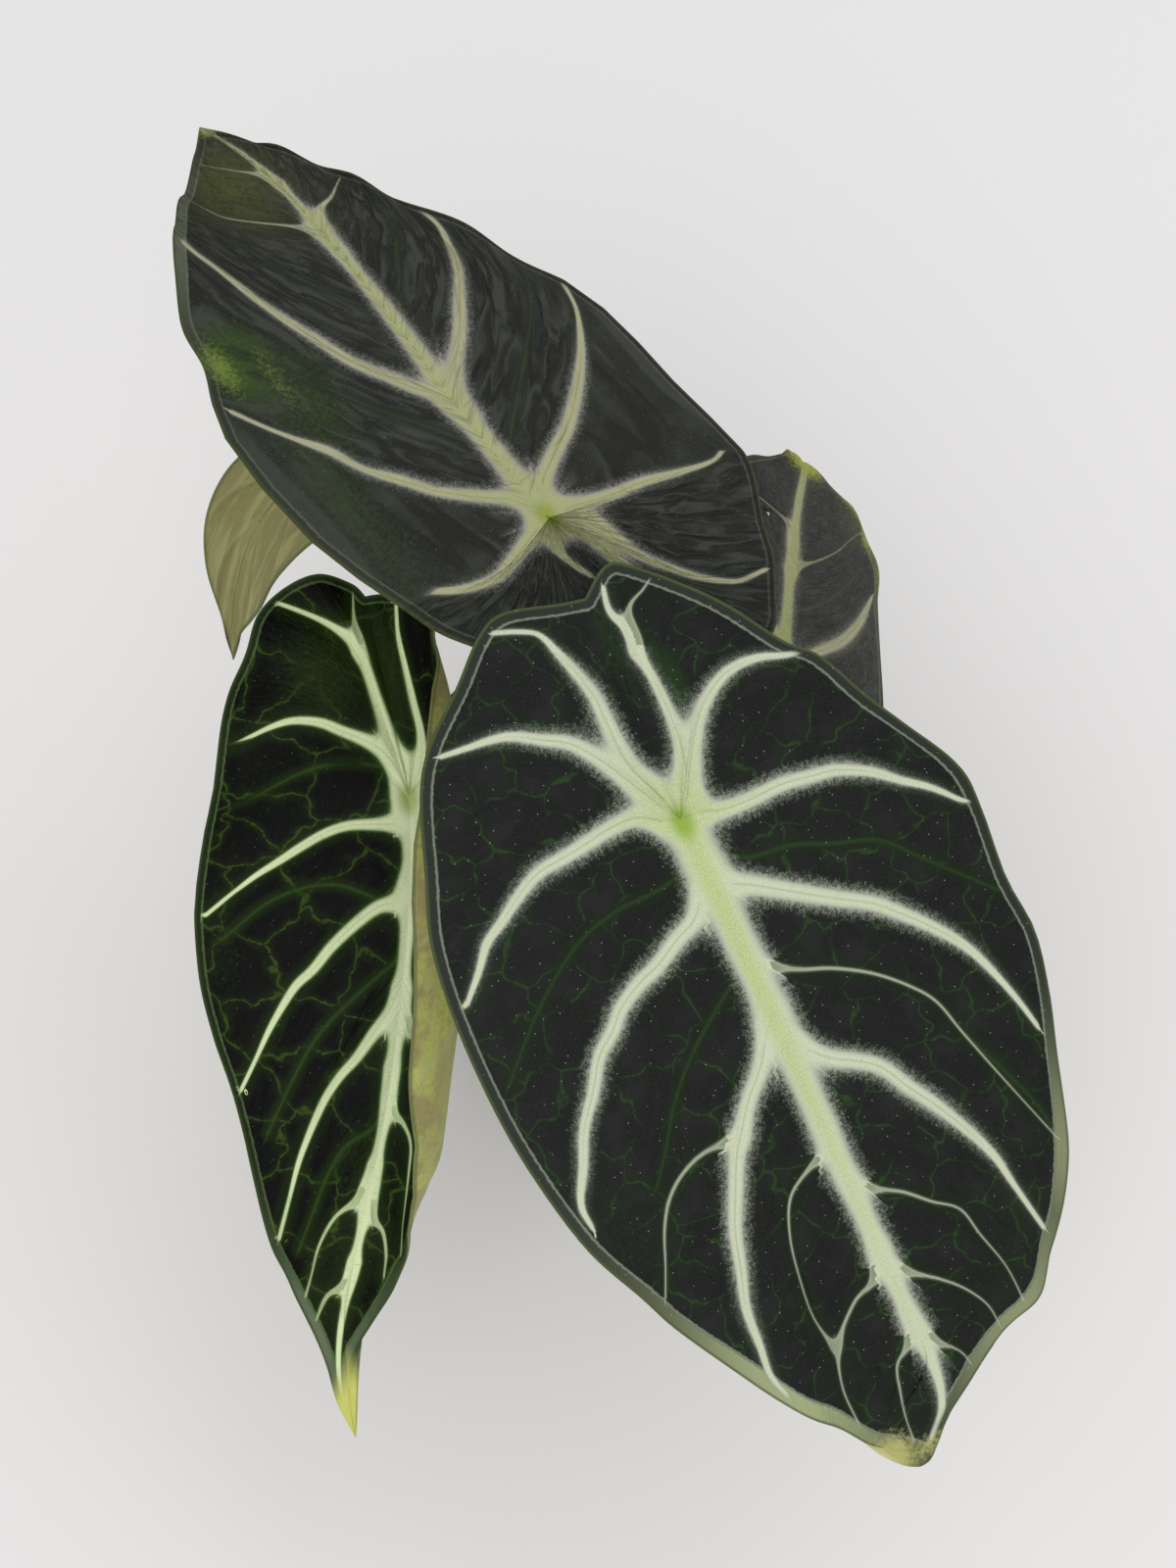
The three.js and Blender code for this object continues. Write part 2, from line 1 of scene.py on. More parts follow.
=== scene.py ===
# Potted ninja alocasia: the finished leaves, petioles, corm, potting mix and pot
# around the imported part. Leaf shapes are worked out in millimetres, pieces in metres.
import json
import math
import random
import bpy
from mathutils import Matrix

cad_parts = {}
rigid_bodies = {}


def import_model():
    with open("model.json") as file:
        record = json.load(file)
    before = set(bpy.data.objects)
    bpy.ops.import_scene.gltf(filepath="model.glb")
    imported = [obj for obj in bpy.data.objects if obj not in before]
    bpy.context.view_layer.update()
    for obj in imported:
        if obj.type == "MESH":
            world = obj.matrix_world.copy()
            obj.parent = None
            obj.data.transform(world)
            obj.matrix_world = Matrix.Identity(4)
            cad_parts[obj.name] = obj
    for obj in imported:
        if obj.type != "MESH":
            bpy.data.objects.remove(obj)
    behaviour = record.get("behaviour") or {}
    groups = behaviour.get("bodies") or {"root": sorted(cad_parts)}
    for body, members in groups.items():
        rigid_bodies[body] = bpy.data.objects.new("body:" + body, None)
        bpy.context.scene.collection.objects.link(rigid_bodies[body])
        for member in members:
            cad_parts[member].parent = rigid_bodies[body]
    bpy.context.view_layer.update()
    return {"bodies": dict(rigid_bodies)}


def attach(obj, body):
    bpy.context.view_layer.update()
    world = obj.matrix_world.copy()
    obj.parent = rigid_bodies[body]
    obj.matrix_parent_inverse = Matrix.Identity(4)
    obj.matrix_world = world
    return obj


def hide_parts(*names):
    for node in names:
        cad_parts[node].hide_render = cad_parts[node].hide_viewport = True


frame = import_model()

from types import SimpleNamespace

import bmesh
import bpy
import numpy as np
from mathutils import Euler, Matrix, Vector, noise

bl_info = {
    "name": "Potted Ninja Alocasia",
    "version": (1, 0, 0),
    "blender": (4, 5, 0),
    "location": "3D Viewport > Sidebar > Plant",
    "description": "Builds the finished leaves, petioles, corm, potting mix and pot",
    "category": "Object",
}

MM = 0.001
BODY = next(iter(frame["bodies"]))

# Heights and radii of the pot and its filling, in millimetres. A wall is given by its
# radius and height at its foot and at its top.
POT_HEIGHT = 85.0
POT_FLOOR = 1.8
OUTER_WALL = (32.2, 0.9), (40.8, 74.2)
INNER_WALL = (31.3, POT_FLOOR + 0.6), (40.0, 74.6)
SOIL_TOP = 73.0
SOIL_RELIEF = 1.1
SOIL_EDGE_DROP = 1.5
CRUMB_REACH = 39.0
SEAT_GAP = 0.3
DRAIN_RADIUS = 3.2
DRAIN_RING = 21.0
DRAIN_COUNT = 8
CORM_RADIUS = 3.6
CORM_TOP = 77.0
CORM_DEPTH = 12.0
STALK_RING = 8.2
STALK_BASE_RADIUS = 2.9
STALK_TOP_RADIUS = 1.9
STALK_DEPTH = 11.0

# Steps of a stalk below the mix and above it, and its faces round about.
STALK_STEPS_BELOW = 8
STALK_STEPS = 56
STALK_SIDES = 28

# Lifts of a blade's surface, in millimetres.
RIB_HEIGHT = 0.55
MIDRIB_HEIGHT = 1.3
PILLOW_HEIGHT = 0.7
THIN_VEIN_GROOVE = 0.07

# Half widths of veins, in millimetres: at the end of any vein, at most of a slight one,
# and at the start of one that is no longer slight. Then how much slimmer slight ones are
# drawn, and how softly the down of two veins runs together where they meet.
VEIN_END = 0.44
SLIGHT_VEIN = 0.37
STOUT_VEIN = 1.0
SLIGHT_SLIM = 0.62
WEB_REACH = 1.3

# A side vein that ends nearer to the line inside the margin than the first of these runs
# straight on to it, one that ends farther off than the second stays as it is, and the
# others meet it in a curve. A vein that ends nearer to another than the third has met it.
STRAIGHT_GAP = 2.5
OPEN_GAP = 16.0
MET_GAP = 1.6

# Lines on a blade, in millimetres: spacing of the points along one, how far off one is
# still looked for, the distance noted where there is none, and the half widths of a line
# that is only measured from.
LINE_STEP = 0.8
LINE_REACH = 14.0
NO_LINE = 60.0
HAIRLINE = (0.1, 0.1, 0.1)

# Millimetres that stand for a whole share and a whole row where a pattern lies along them.
SHARE_LENGTH = 42
ROW_LENGTH = 40

# A leaf lies flat in its own plane: x runs along the midrib from the petiole to the
# tip, y to the leaf's left. Margin points go from the basal notch to the tip. A rib is
# [margin point it ends at, start along the midrib, two points on its way].
# A vein is (half widths at its start, middle and end, points), all in millimetres.
LEAVES = {
    "front_leaf": {
        "insertion": (8.8, -38.1, 147.3),
        "turn": (8, 35.7, -59.5),
        "stalk_angle": -80,
        "arch": [(-45, -11), (0, -6), (120, 6)],
        "sweep": [(0, 0), (1, 0)],
        "fold_left": [(0, 5), (50, -6)],
        "fold_right": [(0, 5), (50, -6)],
        "ripple": (0.9, 7, 0.4),
        "tail": (1.9, 5),
        "midrib": [(0, 0), (52, 0), (104, 0.5), (112, 0.5), (117, -1.2), (121, -4), (123.6, -7),
                   (123.6, -10.6), (121.2, -13.4), (118, -15.9)],
        "left": {
            "margin": [(-41, 1.5), (-44.5, 7), (-42.5, 11.5), (-31.5, 21.5), (-20.5, 29), (-15.5, 33.5),
                       (-7, 37.5), (1.5, 42.5), (11.5, 47.5), (20, 49), (34, 48), (45, 49), (56, 47),
                       (66, 44), (77, 40.5), (84.5, 37.5), (92, 33.5), (98, 29.5), (102.5, 26),
                       (106, 22), (108.3, 17), (110.3, 11.5), (114.5, 5), (119, -1), (122.5, -4),
                       (125.2, -7), (124.6, -10.6), (121.6, -13.8), (118, -15.9)],
            "ribs": [(2, 0, (-13, 5.5), (-29, 6)), (5, 0, (-15, 10.5), (-19.5, 21)),
                     (9, 0, (2, 13), (4.5, 30)), (13, 9, (22.5, 16.5), (39, 34)),
                     (15, 27, (38, 18), (57, 30)), (17, 41, (53.5, 13), (73, 23.5)),
                     (19, 70, (79, 11), (92, 18)), (20, 84, (93, 7.5), (101, 13)),
                     (21, 98, (105, 4), (110, 7))],
        },
        "right": {
            "margin": [(-41, 1.5), (-42, -2.5), (-44.5, -12), (-43, -17.5), (-36.5, -25), (-29.5, -33.5),
                       (-22.5, -38.5), (-10, -43.5), (0.5, -47.5), (13, -49.5), (29, -50), (43, -49),
                       (59, -46), (71.5, -41), (79.5, -38), (91.5, -32), (101.5, -26.5), (108.5, -21),
                       (115, -16.4), (118.7, -12.4), (122, -8.6), (122.4, -10.4), (120.4, -13),
                       (118, -15.9)],
            "ribs": [(3, 0, (-15.5, -4.5), (-30, -5.5)), (5, 0, (-14, -7.5), (-23.5, -18)),
                     (9, 0, (-4, -14.5), (-1, -30)), (12, 11, (22.5, -20), (37, -35)),
                     (16, 38, (54, -14.5), (75, -23.5)), (17, 62, (70, -11.5), (88, -15.5)),
                     (18, 86, (94, -12), (104, -16)), (19, 101, (106, -5), (113, -8.5))],
        },
        "veins": [
            ((3.3, 2.5, 1.4), [(-2, 0), (0, 0), (30, 0.2), (60, 0), (90, 0.2), (108, 0.6), (116, -1),
                               (121, -5)]),
            ((2.3, 1.6, 0.8), [(0, 0), (-3, 2.5), (-8, 5.5), (-13, 9), (-16.5, 12.5), (-19, 17),
                               (-19.5, 21), (-19, 24.5), (-17.5, 28.5), (-17, 32)]),
            ((2.2, 1.6, 0.8), [(0, 0), (0, 3), (1.5, 7), (2, 12), (2, 18), (3, 23.5), (4, 28), (7, 33.5),
                               (10.5, 37.5), (14, 42), (18.5, 46)]),
            ((2.5, 1.8, 0.8), [(7, 0), (12.5, 2), (15.5, 6.5), (19, 11.5), (23.5, 18), (27.5, 24),
                               (31, 27.5), (35.5, 31.5), (41, 35.5), (46.5, 38), (54, 40.5), (60, 42)]),
            ((0.9, 0.5, 0.3), [(24, 0), (28.5, 2.5), (32, 7.5), (34.5, 13), (38.5, 19), (43.5, 24),
                               (48, 27), (55, 29)]),
            ((2.3, 1.7, 0.7), [(38, 0), (43, 1.5), (48, 5.5), (51, 10), (54, 13.5), (59.5, 16.5),
                               (64.5, 19.5), (71.5, 23), (78, 25.5), (83.5, 26.5), (88.5, 27.5),
                               (93.5, 28.5)]),
            ((0.8, 0.45, 0.3), [(69, 0), (73, 3.5), (76, 8), (80, 12), (83.5, 16), (89.5, 17.5),
                                (97, 19.5), (104, 20)]),
            ((0.9, 0.5, 0.3), [(83, 0), (86.5, 0.5), (90.5, 4), (94, 8), (98, 11.5), (103, 14),
                               (108.5, 14.5)]),
            ((0.7, 0.4, 0.3), [(97, 0), (100.5, 1), (104.5, 3), (108, 6), (111.5, 7)]),
            ((1.7, 1.2, 0.6), [(-3, 3), (-11.5, 5.5), (-18, 6), (-24, 6), (-29, 5.5), (-33.5, 5.5),
                               (-36, 4.5)]),
            ((0.6, 0.5, 0.4), [(-29, 5.5), (-31, 6.5), (-35, 7), (-37, 8.5), (-38, 11), (-39.5, 13.5)]),
            ((2.6, 1.7, 0.6), [(0, 0), (-5, -1.5), (-11, -4), (-15.5, -4.5), (-20.5, -4.5), (-25.5, -4.5),
                               (-30, -5.5), (-34.5, -7), (-38.5, -8.5), (-40.5, -11.5), (-42, -15)]),
            ((2.3, 1.6, 0.8), [(-3, -2), (-9, -5), (-13, -7), (-17, -9.5), (-20, -12), (-22.5, -16),
                               (-25, -20), (-26, -23.5), (-26.5, -27.5), (-27, -31.5)]),
            ((2.3, 1.6, 0.9), [(0, 0), (0, -1.5), (-3.5, -6.5), (-4, -11), (-3.5, -16), (-3, -20.5),
                               (-2.5, -26), (-0.5, -30.5), (2.5, -35.5), (4.5, -39), (8, -42),
                               (11.5, -45.5)]),
            ((2.3, 1.7, 1.1), [(10, 0), (16, -5), (18, -9.5), (20.5, -14.5), (22, -19), (24.5, -23.5),
                               (27, -26), (30, -30), (35, -33.5), (40, -37.5), (46, -40.5),
                               (51.5, -43.5), (55.5, -43.5)]),
            ((2.2, 1.8, 0.9), [(36, 0), (43.5, -5), (48.5, -10), (53, -13.5), (56.5, -16), (61.5, -18.5),
                               (68, -21.5), (75, -23.5), (82, -25.5), (89, -26), (95, -26.5),
                               (99.5, -25.5)]),
            ((0.9, 0.6, 0.35), [(53.5, -14), (53, -20.5), (54.5, -25.5), (57.5, -29.5), (62, -32.5),
                                (68, -35), (72.5, -37)]),
            ((0.8, 0.45, 0.3), [(59, 0), (63, -1.5), (64.5, -5.5), (67.5, -10.5), (74, -13.5), (82, -15),
                                (89, -15.5), (95.5, -14.5)]),
            ((0.9, 0.55, 0.35), [(84, 0), (88.5, -3.5), (90, -7.5), (94, -12), (98, -14.5), (104, -16),
                                 (110, -16)]),
            ((0.7, 0.45, 0.3), [(100, 0), (103, -3), (105, -5.5), (110, -7)]),
        ],
        "thin": [
            ((0.45, 0.35, 0.3), [(6, 2), (10.5, 7), (12, 15), (15, 22), (18, 29.5), (23.5, 34.5),
                                 (29.5, 40), (36, 46)]),
            ((0.4, 0.35, 0.3), [(55, 29), (64.5, 33), (73, 36), (79, 37)]),
            ((0.4, 0.3, 0.25), [(8, -2), (9, -9), (9, -17), (11, -25), (16, -33), (22, -40), (28, -46)]),
            ((0.4, 0.3, 0.25), [(27, -1), (32, -9), (37, -16), (43, -22), (50, -27), (55, -31)]),
        ],
        "net": (8.5, 11),
        "tints": [("green", -21, 8.5, 10, 3, 0.9), ("green", -30, 2, 12, 2.5, 0.6),
                  ("green", 88, 24, 16, 7, 0.35), ("green", 60, -38, 20, 6, 0.3),
                  ("wide", 98, -24, 38, 15, 1.0), ("wide", 105, 18, 34, 16, 0.7),
                  ("wide", 82, 37, 20, 9, 0.6), ("pale", 121, -13, 5, 4.5, 1.1),
                  ("pale", 122, -6, 2.5, 5, 0.55)],
    },
    "upper_leaf": {
        "insertion": (-14, 17.2, 158.4),
        "turn": (8, -2.1, 126.5),
        "stalk_angle": 95,
        "arch": [(-45, -9), (0, -5), (115, 5.5)],
        "sweep": [(0, 3.5), (20, -1), (40, -4.5), (70, -3), (90, 0), (112, 12)],
        "fold_left": [(0, 5), (42, -5.5)],
        "fold_right": [(0, 5), (42, -5.5)],
        "ripple": (0.8, 8, 1.1),
        "midrib": [(0, 0), (118, 0)],
        "left": {
            "margin": [(-33, 0), (-39, 6), (-37, 14), (-28, 22), (-15, 28.5), (-1.5, 34.5), (6, 37),
                       (15, 39.5), (27, 41), (38, 41.5), (47, 40), (57, 37), (68.5, 35.5), (82, 30),
                       (91, 25.5), (98.5, 21), (104, 15.5), (110, 9), (114.5, 4), (118, 0)],
            "ribs": [(1.5, 0, (-12, 3), (-26, 5)), (5, 0, (-4, 11.5), (-4.5, 22)),
                     (10, 3, (17, 17), (31.5, 28.5)), (14, 30, (47, 13), (70, 21.5)),
                     (16, 76, (83, 5.5), (92, 14.5))],
        },
        "right": {
            "margin": [(-33, 0), (-40, -5), (-42.5, -13), (-39, -21.5), (-31, -28), (-21, -34.5),
                       (-7, -41.3), (4, -41), (20, -40), (34, -39.5), (47.5, -35.5), (58, -29),
                       (68.5, -24.5), (79.5, -18), (90.5, -12.5), (101, -7.5), (110, -3), (118, 0)],
            "ribs": [(2, 0, (-14, -4), (-29, -8)), (4, 0, (-12, -7.5), (-24, -14.5)),
                     (6, 0, (-3, -14), (-5.5, -28)), (10, 3, (14.5, -15), (29, -28)),
                     (13, 35, (48, -12), (62, -19)), (15, 78, (87, -4.5), (95, -7))],
        },
        "veins": [
            ((2.6, 1.8, 0.7), [(-2, 0), (0, 0), (30, 0), (60, 0), (90, 0), (105, 0), (116, 0)]),
            ((2.0, 1.2, 0.5), [(26, 0), (32.5, 2), (35.5, 5), (39.5, 8), (45.5, 12.5), (52.5, 15.5),
                               (60, 18.5), (68, 21), (77, 23), (83.5, 24.5), (87.5, 25)]),
            ((2.0, 1.2, 0.5), [(0, 0), (5.5, 2.5), (10, 9), (14, 14.5), (19, 19), (23.5, 23.5),
                               (29.5, 26.5), (34, 30.5), (39, 34.5), (43, 37)]),
            ((2.0, 1.3, 0.6), [(0, 0), (-1.5, 5), (-4, 11.5), (-5.5, 16.5), (-4.5, 22.5), (-2, 28),
                               (0.5, 32)]),
            ((0.7, 0.4, 0.25), [(72, 0), (77, 0.5), (81.5, 3.5), (86.5, 10), (91, 14.5), (98, 16.5)]),
            ((0.45, 0.3, 0.2), [(94, 0.2), (98, 2), (102, 5.5), (107, 9)]),
            ((1.1, 0.5, 0.2), [(79, -0.3), (84, -3.2), (85.5, -6.5), (88, -9.5)]),
            ((1.4, 1.0, 0.5), [(0, 0), (-5.5, 3.5), (-10, 3), (-14, 2)]),
            ((2.0, 1.3, 0.5), [(30, 0), (37, -4.5), (43, -9), (50.5, -13.5), (57.5, -17.5), (64, -19.5),
                               (70, -20.5), (76, -19.5)]),
            ((2.0, 1.4, 0.5), [(1, 0), (6, -3), (10.5, -9), (14.5, -15), (21, -21.5), (28, -27),
                               (34, -30.5), (41, -33.5), (46.5, -34.5)]),
            ((1.8, 1.2, 0.5), [(0, 0), (-0.5, -4.5), (-2.5, -12.5), (-3.5, -19.5), (-5.5, -27.5),
                               (-6.5, -34.5), (-4.5, -39.5)]),
            ((1.7, 1.1, 0.5), [(0, 0), (-4.5, -5.5), (-10, -7), (-15.5, -8.5), (-20.5, -11.5),
                               (-25, -15), (-29, -20), (-30, -25.5)]),
            ((1.5, 0.9, 0.5), [(-4, -3), (-12, -4), (-22, -5), (-32, -8), (-38, -12)]),
        ],
        "thin": [
            ((0.35, 0.3, 0.2), [(16, 1), (24, 6), (32, 13), (41, 20), (50, 26), (58, 31)]),
            ((0.35, 0.3, 0.2), [(52, 1), (60, 6), (68, 11), (77, 15), (86, 17)]),
            ((0.35, 0.3, 0.2), [(14, -1), (22, -8), (30, -15), (39, -22), (47, -27), (54, -30)]),
            ((0.35, 0.3, 0.2), [(52, -1), (60, -6), (68, -10), (77, -14), (86, -14)]),
            ((0.35, 0.3, 0.25), [(50, 29.5), (46, 25), (46, 18)]),
        ],
        "net": (7.5, 23),
        "tints": [("green", 54, 31, 12, 7, 1.0), ("green", 42, 24, 20, 10, 0.55),
                  ("green", 20, 30, 34, 9, 0.45), ("olive", 99, 8, 15, 10, 0.9),
                  ("pale", 55, 34.5, 8, 2.8, 0.62), ("pale", 48, 27, 9, 2.2, 0.36),
                  ("green", -18, 22, 16, 9, 0.35), ("pale", 117, 0, 4, 4, 0.8),
                  ("wide", 92, 24, 34, 15, 0.9), ("wide", 20, 38, 46, 9, 0.15)],
    },
    "left_leaf": {
        "insertion": (-40.3, -18.3, 120.7),
        "turn": (-8, 35.1, -98),
        "stalk_angle": -152,
        "arch": [(-45, -10), (0, -6), (120, 6)],
        "sweep": [(-40, 20), (-8, 20), (6, 8), (20, 3), (50, 0), (70, -4), (100, -4), (115, 0)],
        "fold_left": [(0, 0), (36, 190)],
        "fold_right": [(0, 3), (40, -9)],
        "curl_along": [(-38, 0.8), (-25, 0.95), (10, 0.99), (45, 1.04), (60, 1.1), (70, 1.25),
                       (79, 1.5), (96, 1.45), (110, 1.3), (124, 1)],
        "ripple": (0.5, 6, 0.2),
        "midrib": [(0, 0), (30, -0.3), (60, -1), (90, -2), (104, -2.2), (115, -0.6), (124, 3.2)],
        "left": {
            "margin": [(-38, 0.5), (-37.5, 4), (-35.5, 9), (-31, 14), (-25, 20), (-17, 25), (-8, 29),
                       (2, 32), (12, 34), (24, 32.5), (36, 31), (48, 30), (60, 26), (70, 20.5),
                       (79, 13), (86.5, 8.6), (93.5, 6.4), (100, 3.8), (107, 1.2), (115, 1.2), (124, 3.2)],
            "ribs": [(1.5, 0, (-12, 4), (-25, 5)), (5, 0, (-6, 9), (-12, 17)), (9, 3, (9, 12), (17, 24)),
                     (11.2, 18, (27, 12), (39, 22)), (13, 38, (50, 7.5), (61, 14)),
                     (15, 70, (76.5, 1.5), (82, 5)), (17, 90, (94, -0.4), (97, 1.8))],
        },
        "right": {
            "margin": [(-38, 0.5), (-41, -1.5), (-44, -7), (-43, -14), (-39.5, -19.5), (-33, -23.5),
                       (-26.5, -28.5), (-17.5, -32.5), (-6, -36.5), (5, -38.3), (15.5, -39.5),
                       (25, -39.8), (38, -38), (49, -34.5), (60, -29.8), (74.5, -24), (88, -18),
                       (97, -12), (104, -7.2), (110.5, -3.8), (118, -0.8), (124, 3.2)],
            "ribs": [(3.4, 0, (-17, -2), (-31, -4.5)), (7, 0, (-13, -7.5), (-18.5, -18.5)),
                     (11, 4, (5.5, -13), (12.5, -25)), (14, 18, (28, -13.5), (42, -22.5)),
                     (16, 38, (53, -9.5), (70, -13.5)), (17, 75, (82, -6.5), (91, -9))],
        },
        "veins": [
            ((1.7, 1.1, 0.6), [(-4, 0.5), (0, 0), (30, -0.3), (60, -1), (90, -2), (104, -2.2), (115, -0.6),
                               (121, 2)]),
            ((1.8, 1.2, 0.6), [(0, 0), (-4, 0.5), (-9, -1), (-13.5, -1.5), (-19, -2), (-25, -2.5),
                               (-29.5, -3.5), (-32.5, -5.5), (-35.5, -8.5), (-38.5, -12.5),
                               (-40.5, -15.5)]),
            ((0.6, 0.4, 0.3), [(-28, -3), (-30.5, -2.5), (-34.5, -2.5), (-39.5, -1.5)]),
            ((1.7, 1.2, 0.5), [(0, 0), (-4.5, -1), (-9, -3), (-12, -6), (-14.5, -9.5), (-17, -13),
                               (-18.5, -17.5), (-18.5, -21.5), (-17.5, -26.5), (-16.5, -30)]),
            ((1.6, 1.1, 0.5), [(3, 0), (5, -2), (5, -6), (5, -11.5), (6.5, -16), (9, -20), (12, -24),
                               (15.5, -28.5), (19.5, -32.5), (24, -37)]),
            ((1.6, 1.1, 0.5), [(16, 0), (19.5, -2), (21, -6), (24.5, -10), (29, -14), (33.5, -17),
                               (37, -20), (42, -22.5), (47, -24.5), (53.5, -26.5), (58.5, -28)]),
            ((1.4, 0.9, 0.45), [(36, -0.4), (40, -1.5), (44, -4.5), (49.5, -7.5), (54, -10.5), (60, -13),
                                (70, -15.2), (79.5, -16), (86, -16.5)]),
            ((0.9, 0.6, 0.3), [(70, -1.4), (73.5, -1.8), (76.8, -3.4), (80.8, -7), (86.8, -9),
                               (92.4, -9.4), (96.4, -9.8)]),
            ((0.7, 0.4, 0.3), [(89, -2), (93.2, -2.8), (96, -5.8), (100.8, -7)]),
            ((0.9, 0.6, 0.3), [(51, -0.8), (56, -0.5), (59.2, 0.6), (61, 3), (64.4, 5.4), (69.6, 6.2)]),
            ((0.7, 0.5, 0.3), [(74, -1.5), (79.6, 0.2), (82, 2.6), (86, 4.2), (89.6, 4.6)]),
            ((1.4, 1.0, 0.5), [(-2, 1), (-5, 3.5), (-10.5, 5), (-16.5, 5), (-23, 5), (-29.5, 5), (-35, 6)]),
            ((1.4, 1.0, 0.5), [(0, 0), (-4, 6), (-8, 12), (-11, 18), (-11, 24)]),
            ((1.4, 1.0, 0.5), [(4, 0), (9, 8), (13, 16), (18, 24), (24, 30)]),
            ((1.3, 0.9, 0.45), [(19, 0), (27, 9), (34, 17), (42, 24), (48, 28)]),
            ((1.0, 0.7, 0.4), [(40, 0), (50, 6), (58, 11), (66, 17), (72, 21)]),
        ],
        "thin": [
            ((0.4, 0.35, 0.25), [(20, -5), (17, -13), (18, -20), (22, -27), (29, -34)]),
            ((0.4, 0.35, 0.25), [(30, -1), (37, -8), (46, -15), (56, -19), (67, -22)]),
            ((0.4, 0.35, 0.25), [(58, -1), (62.8, -3), (66.8, -7.4), (73.2, -9.8), (79.6, -11),
                                 (88.4, -12.6)]),
            ((0.4, 0.35, 0.25), [(-6, -3), (-9, -12), (-8, -22), (-3, -32)]),
        ],
        "net": (12.0, 37),
        "tints": [("green", -26, -10, 12, 10, 0.8), ("green", -24, 1.5, 16, 4, 0.9),
                  ("green", -6, -24, 12, 10, 0.35), ("green", 68, -4, 14, 6, 0.45),
                  ("green", 92, -3, 16, 7, 0.5), ("green", 30, -34, 20, 6, 0.4),
                  ("green", 60, 4, 14, 5, 0.4), ("wide", 104, -6, 24, 12, 1.0)],
    },
    "right_leaf": {
        "insertion": (27, -7.2, 129.4),
        "turn": (22, 16.7, 81),
        "stalk_angle": 5,
        "arch": [(-30, -7), (0, -4), (82, 6), (94, 50), (106, 75)],
        "sweep": [(0, 0), (1, 0)],
        "fold_left": [(0, 6), (32, -7)],
        "fold_right": [(0, -14), (30, -29)],
        "ripple": (0.7, 6, 0.5),
        "hole": (58, 8, 1.2),
        "midrib": [(0, 0), (102, 0)],
        "left": {
            "margin": [(-22, 0), (-26, 7), (-21, 17), (-10, 24.5), (4, 29), (19, 31), (34, 30.5),
                       (48, 28), (60, 22.5), (70, 17), (77, 12.2), (83, 7.2), (88, 3.2), (94, 1.6),
                       (102, 0)],
            "ribs": [(1.5, 0, (-8, 4), (-17, 8)), (3.3, 0, (-3, 9), (-7, 18)), (5.6, 3, (8, 12), (15, 22)),
                     (8.2, 18, (31, 12), (47, 19.5)), (10, 44, (54, 9), (66, 13.5)),
                     (11.5, 66, (72, 3.5), (77, 7.5))],
        },
        "right": {
            "margin": [(-22, 0), (-26, -7), (-22, -16), (-12, -23), (2, -27.5), (17, -29.5), (32, -29),
                       (46, -27.5), (60, -25.5), (71, -23.8), (81, -21), (90, -16.5), (96, -10.5),
                       (100, -4.5), (102, 0)],
            "ribs": [(1.5, 0, (-8, -4), (-17, -8)), (3.3, 0, (-3, -9), (-7, -18)),
                     (5.6, 3, (8, -12), (15, -22)), (8.2, 18, (31, -12), (47, -19.5)),
                     (10, 44, (54, -9), (67, -15.5)), (11.5, 66, (74, -6), (82, -10.5))],
        },
        "veins": [
            ((1.7, 1.3, 0.9), [(-2, 0), (0, 0), (23, 0.4), (45, 1.2), (64, 1), (84, 0), (97, 0)]),
            ((1.2, 1.5, 1.2), [(12, 0), (16, -2), (20.8, -4.8), (26.4, -8.4), (35.6, -14.4),
                               (47.2, -19.2), (58, -22)]),
            ((0.5, 0.3, 0.2), [(43, 0.9), (46.4, -0.8), (54, -6), (62, -10.5), (68.4, -13.2), (76, -16.5)]),
            ((0.5, 0.35, 0.25), [(52, 1.3), (57.6, 2.8), (60.4, 7.6), (63, 13)]),
            ((1.2, 0.8, 0.5), [(0, 0), (-6, -7), (-14, -14)]),
            ((1.2, 0.8, 0.5), [(0, 0), (-6, 7), (-14, 14)]),
            ((1.2, 0.9, 0.5), [(4, 0), (8, 10), (14, 19), (22, 26)]),
            ((1.2, 0.9, 0.5), [(20, 0.3), (30, 11), (40, 18), (48, 22)]),
            ((1.2, 0.9, 0.5), [(3, 0), (7, -9), (13, -17), (20, -24)]),
        ],
        "thin": [
            ((0.35, 0.3, 0.2), [(30, 0.6), (38, -6), (48, -11.5), (60, -16.5)]),
            ((0.35, 0.3, 0.2), [(78, 0.4), (84, -4.5), (89, -9)]),
        ],
        "net": (7.0, 53),
        "tints": [("pale", 86, 0, 6, 5, 1.0), ("pale", 92, -9, 7, 4.5, 0.9), ("pale", 82, -20.5, 9, 2.5, 0.7),
                  ("pale", 88, -15, 6, 5, 0.8), ("pale", 72, -24, 12, 2, 0.5),
                  ("green", 84, -15, 14, 7, 0.6), ("wide", 70, -22, 24, 8, 1.0),
                  ("wide", 60, 22, 26, 8, 0.6)],
    },
    "far_leaf": {
        "insertion": (-57, 65, 117),
        "turn": (125, 65.5, -160.5),
        "stalk_angle": 150,
        "arch": [(-30, -25), (0, -15), (70, 20)],
        "sweep": [(0, 28), (20, 18), (40, 0), (70, -25)],
        "fold_left": [(0, 6), (13, -4)],
        "fold_right": [(0, -36), (13, -62)],
        "ripple": (0.4, 4, 0.9),
        "climb": 0.9,
        "tuck": 0.15,
        "midrib": [(0, 0), (72, 0)],
        "left": {
            "margin": [(-12, 0), (-15, 3.5), (-12, 7.5), (-4, 10), (6, 11.3), (18, 12), (30, 12.2),
                       (41, 11), (51, 8), (59, 4.5), (66, 1.8), (72, 0)],
            "ribs": [(2, 0, (-4, 3), (-8, 6)), (5, 1, (6, 5), (12, 9.5)), (7, 14, (22, 5), (31, 9)),
                     (9, 32, (40, 3), (49, 5))],
        },
        "right": {
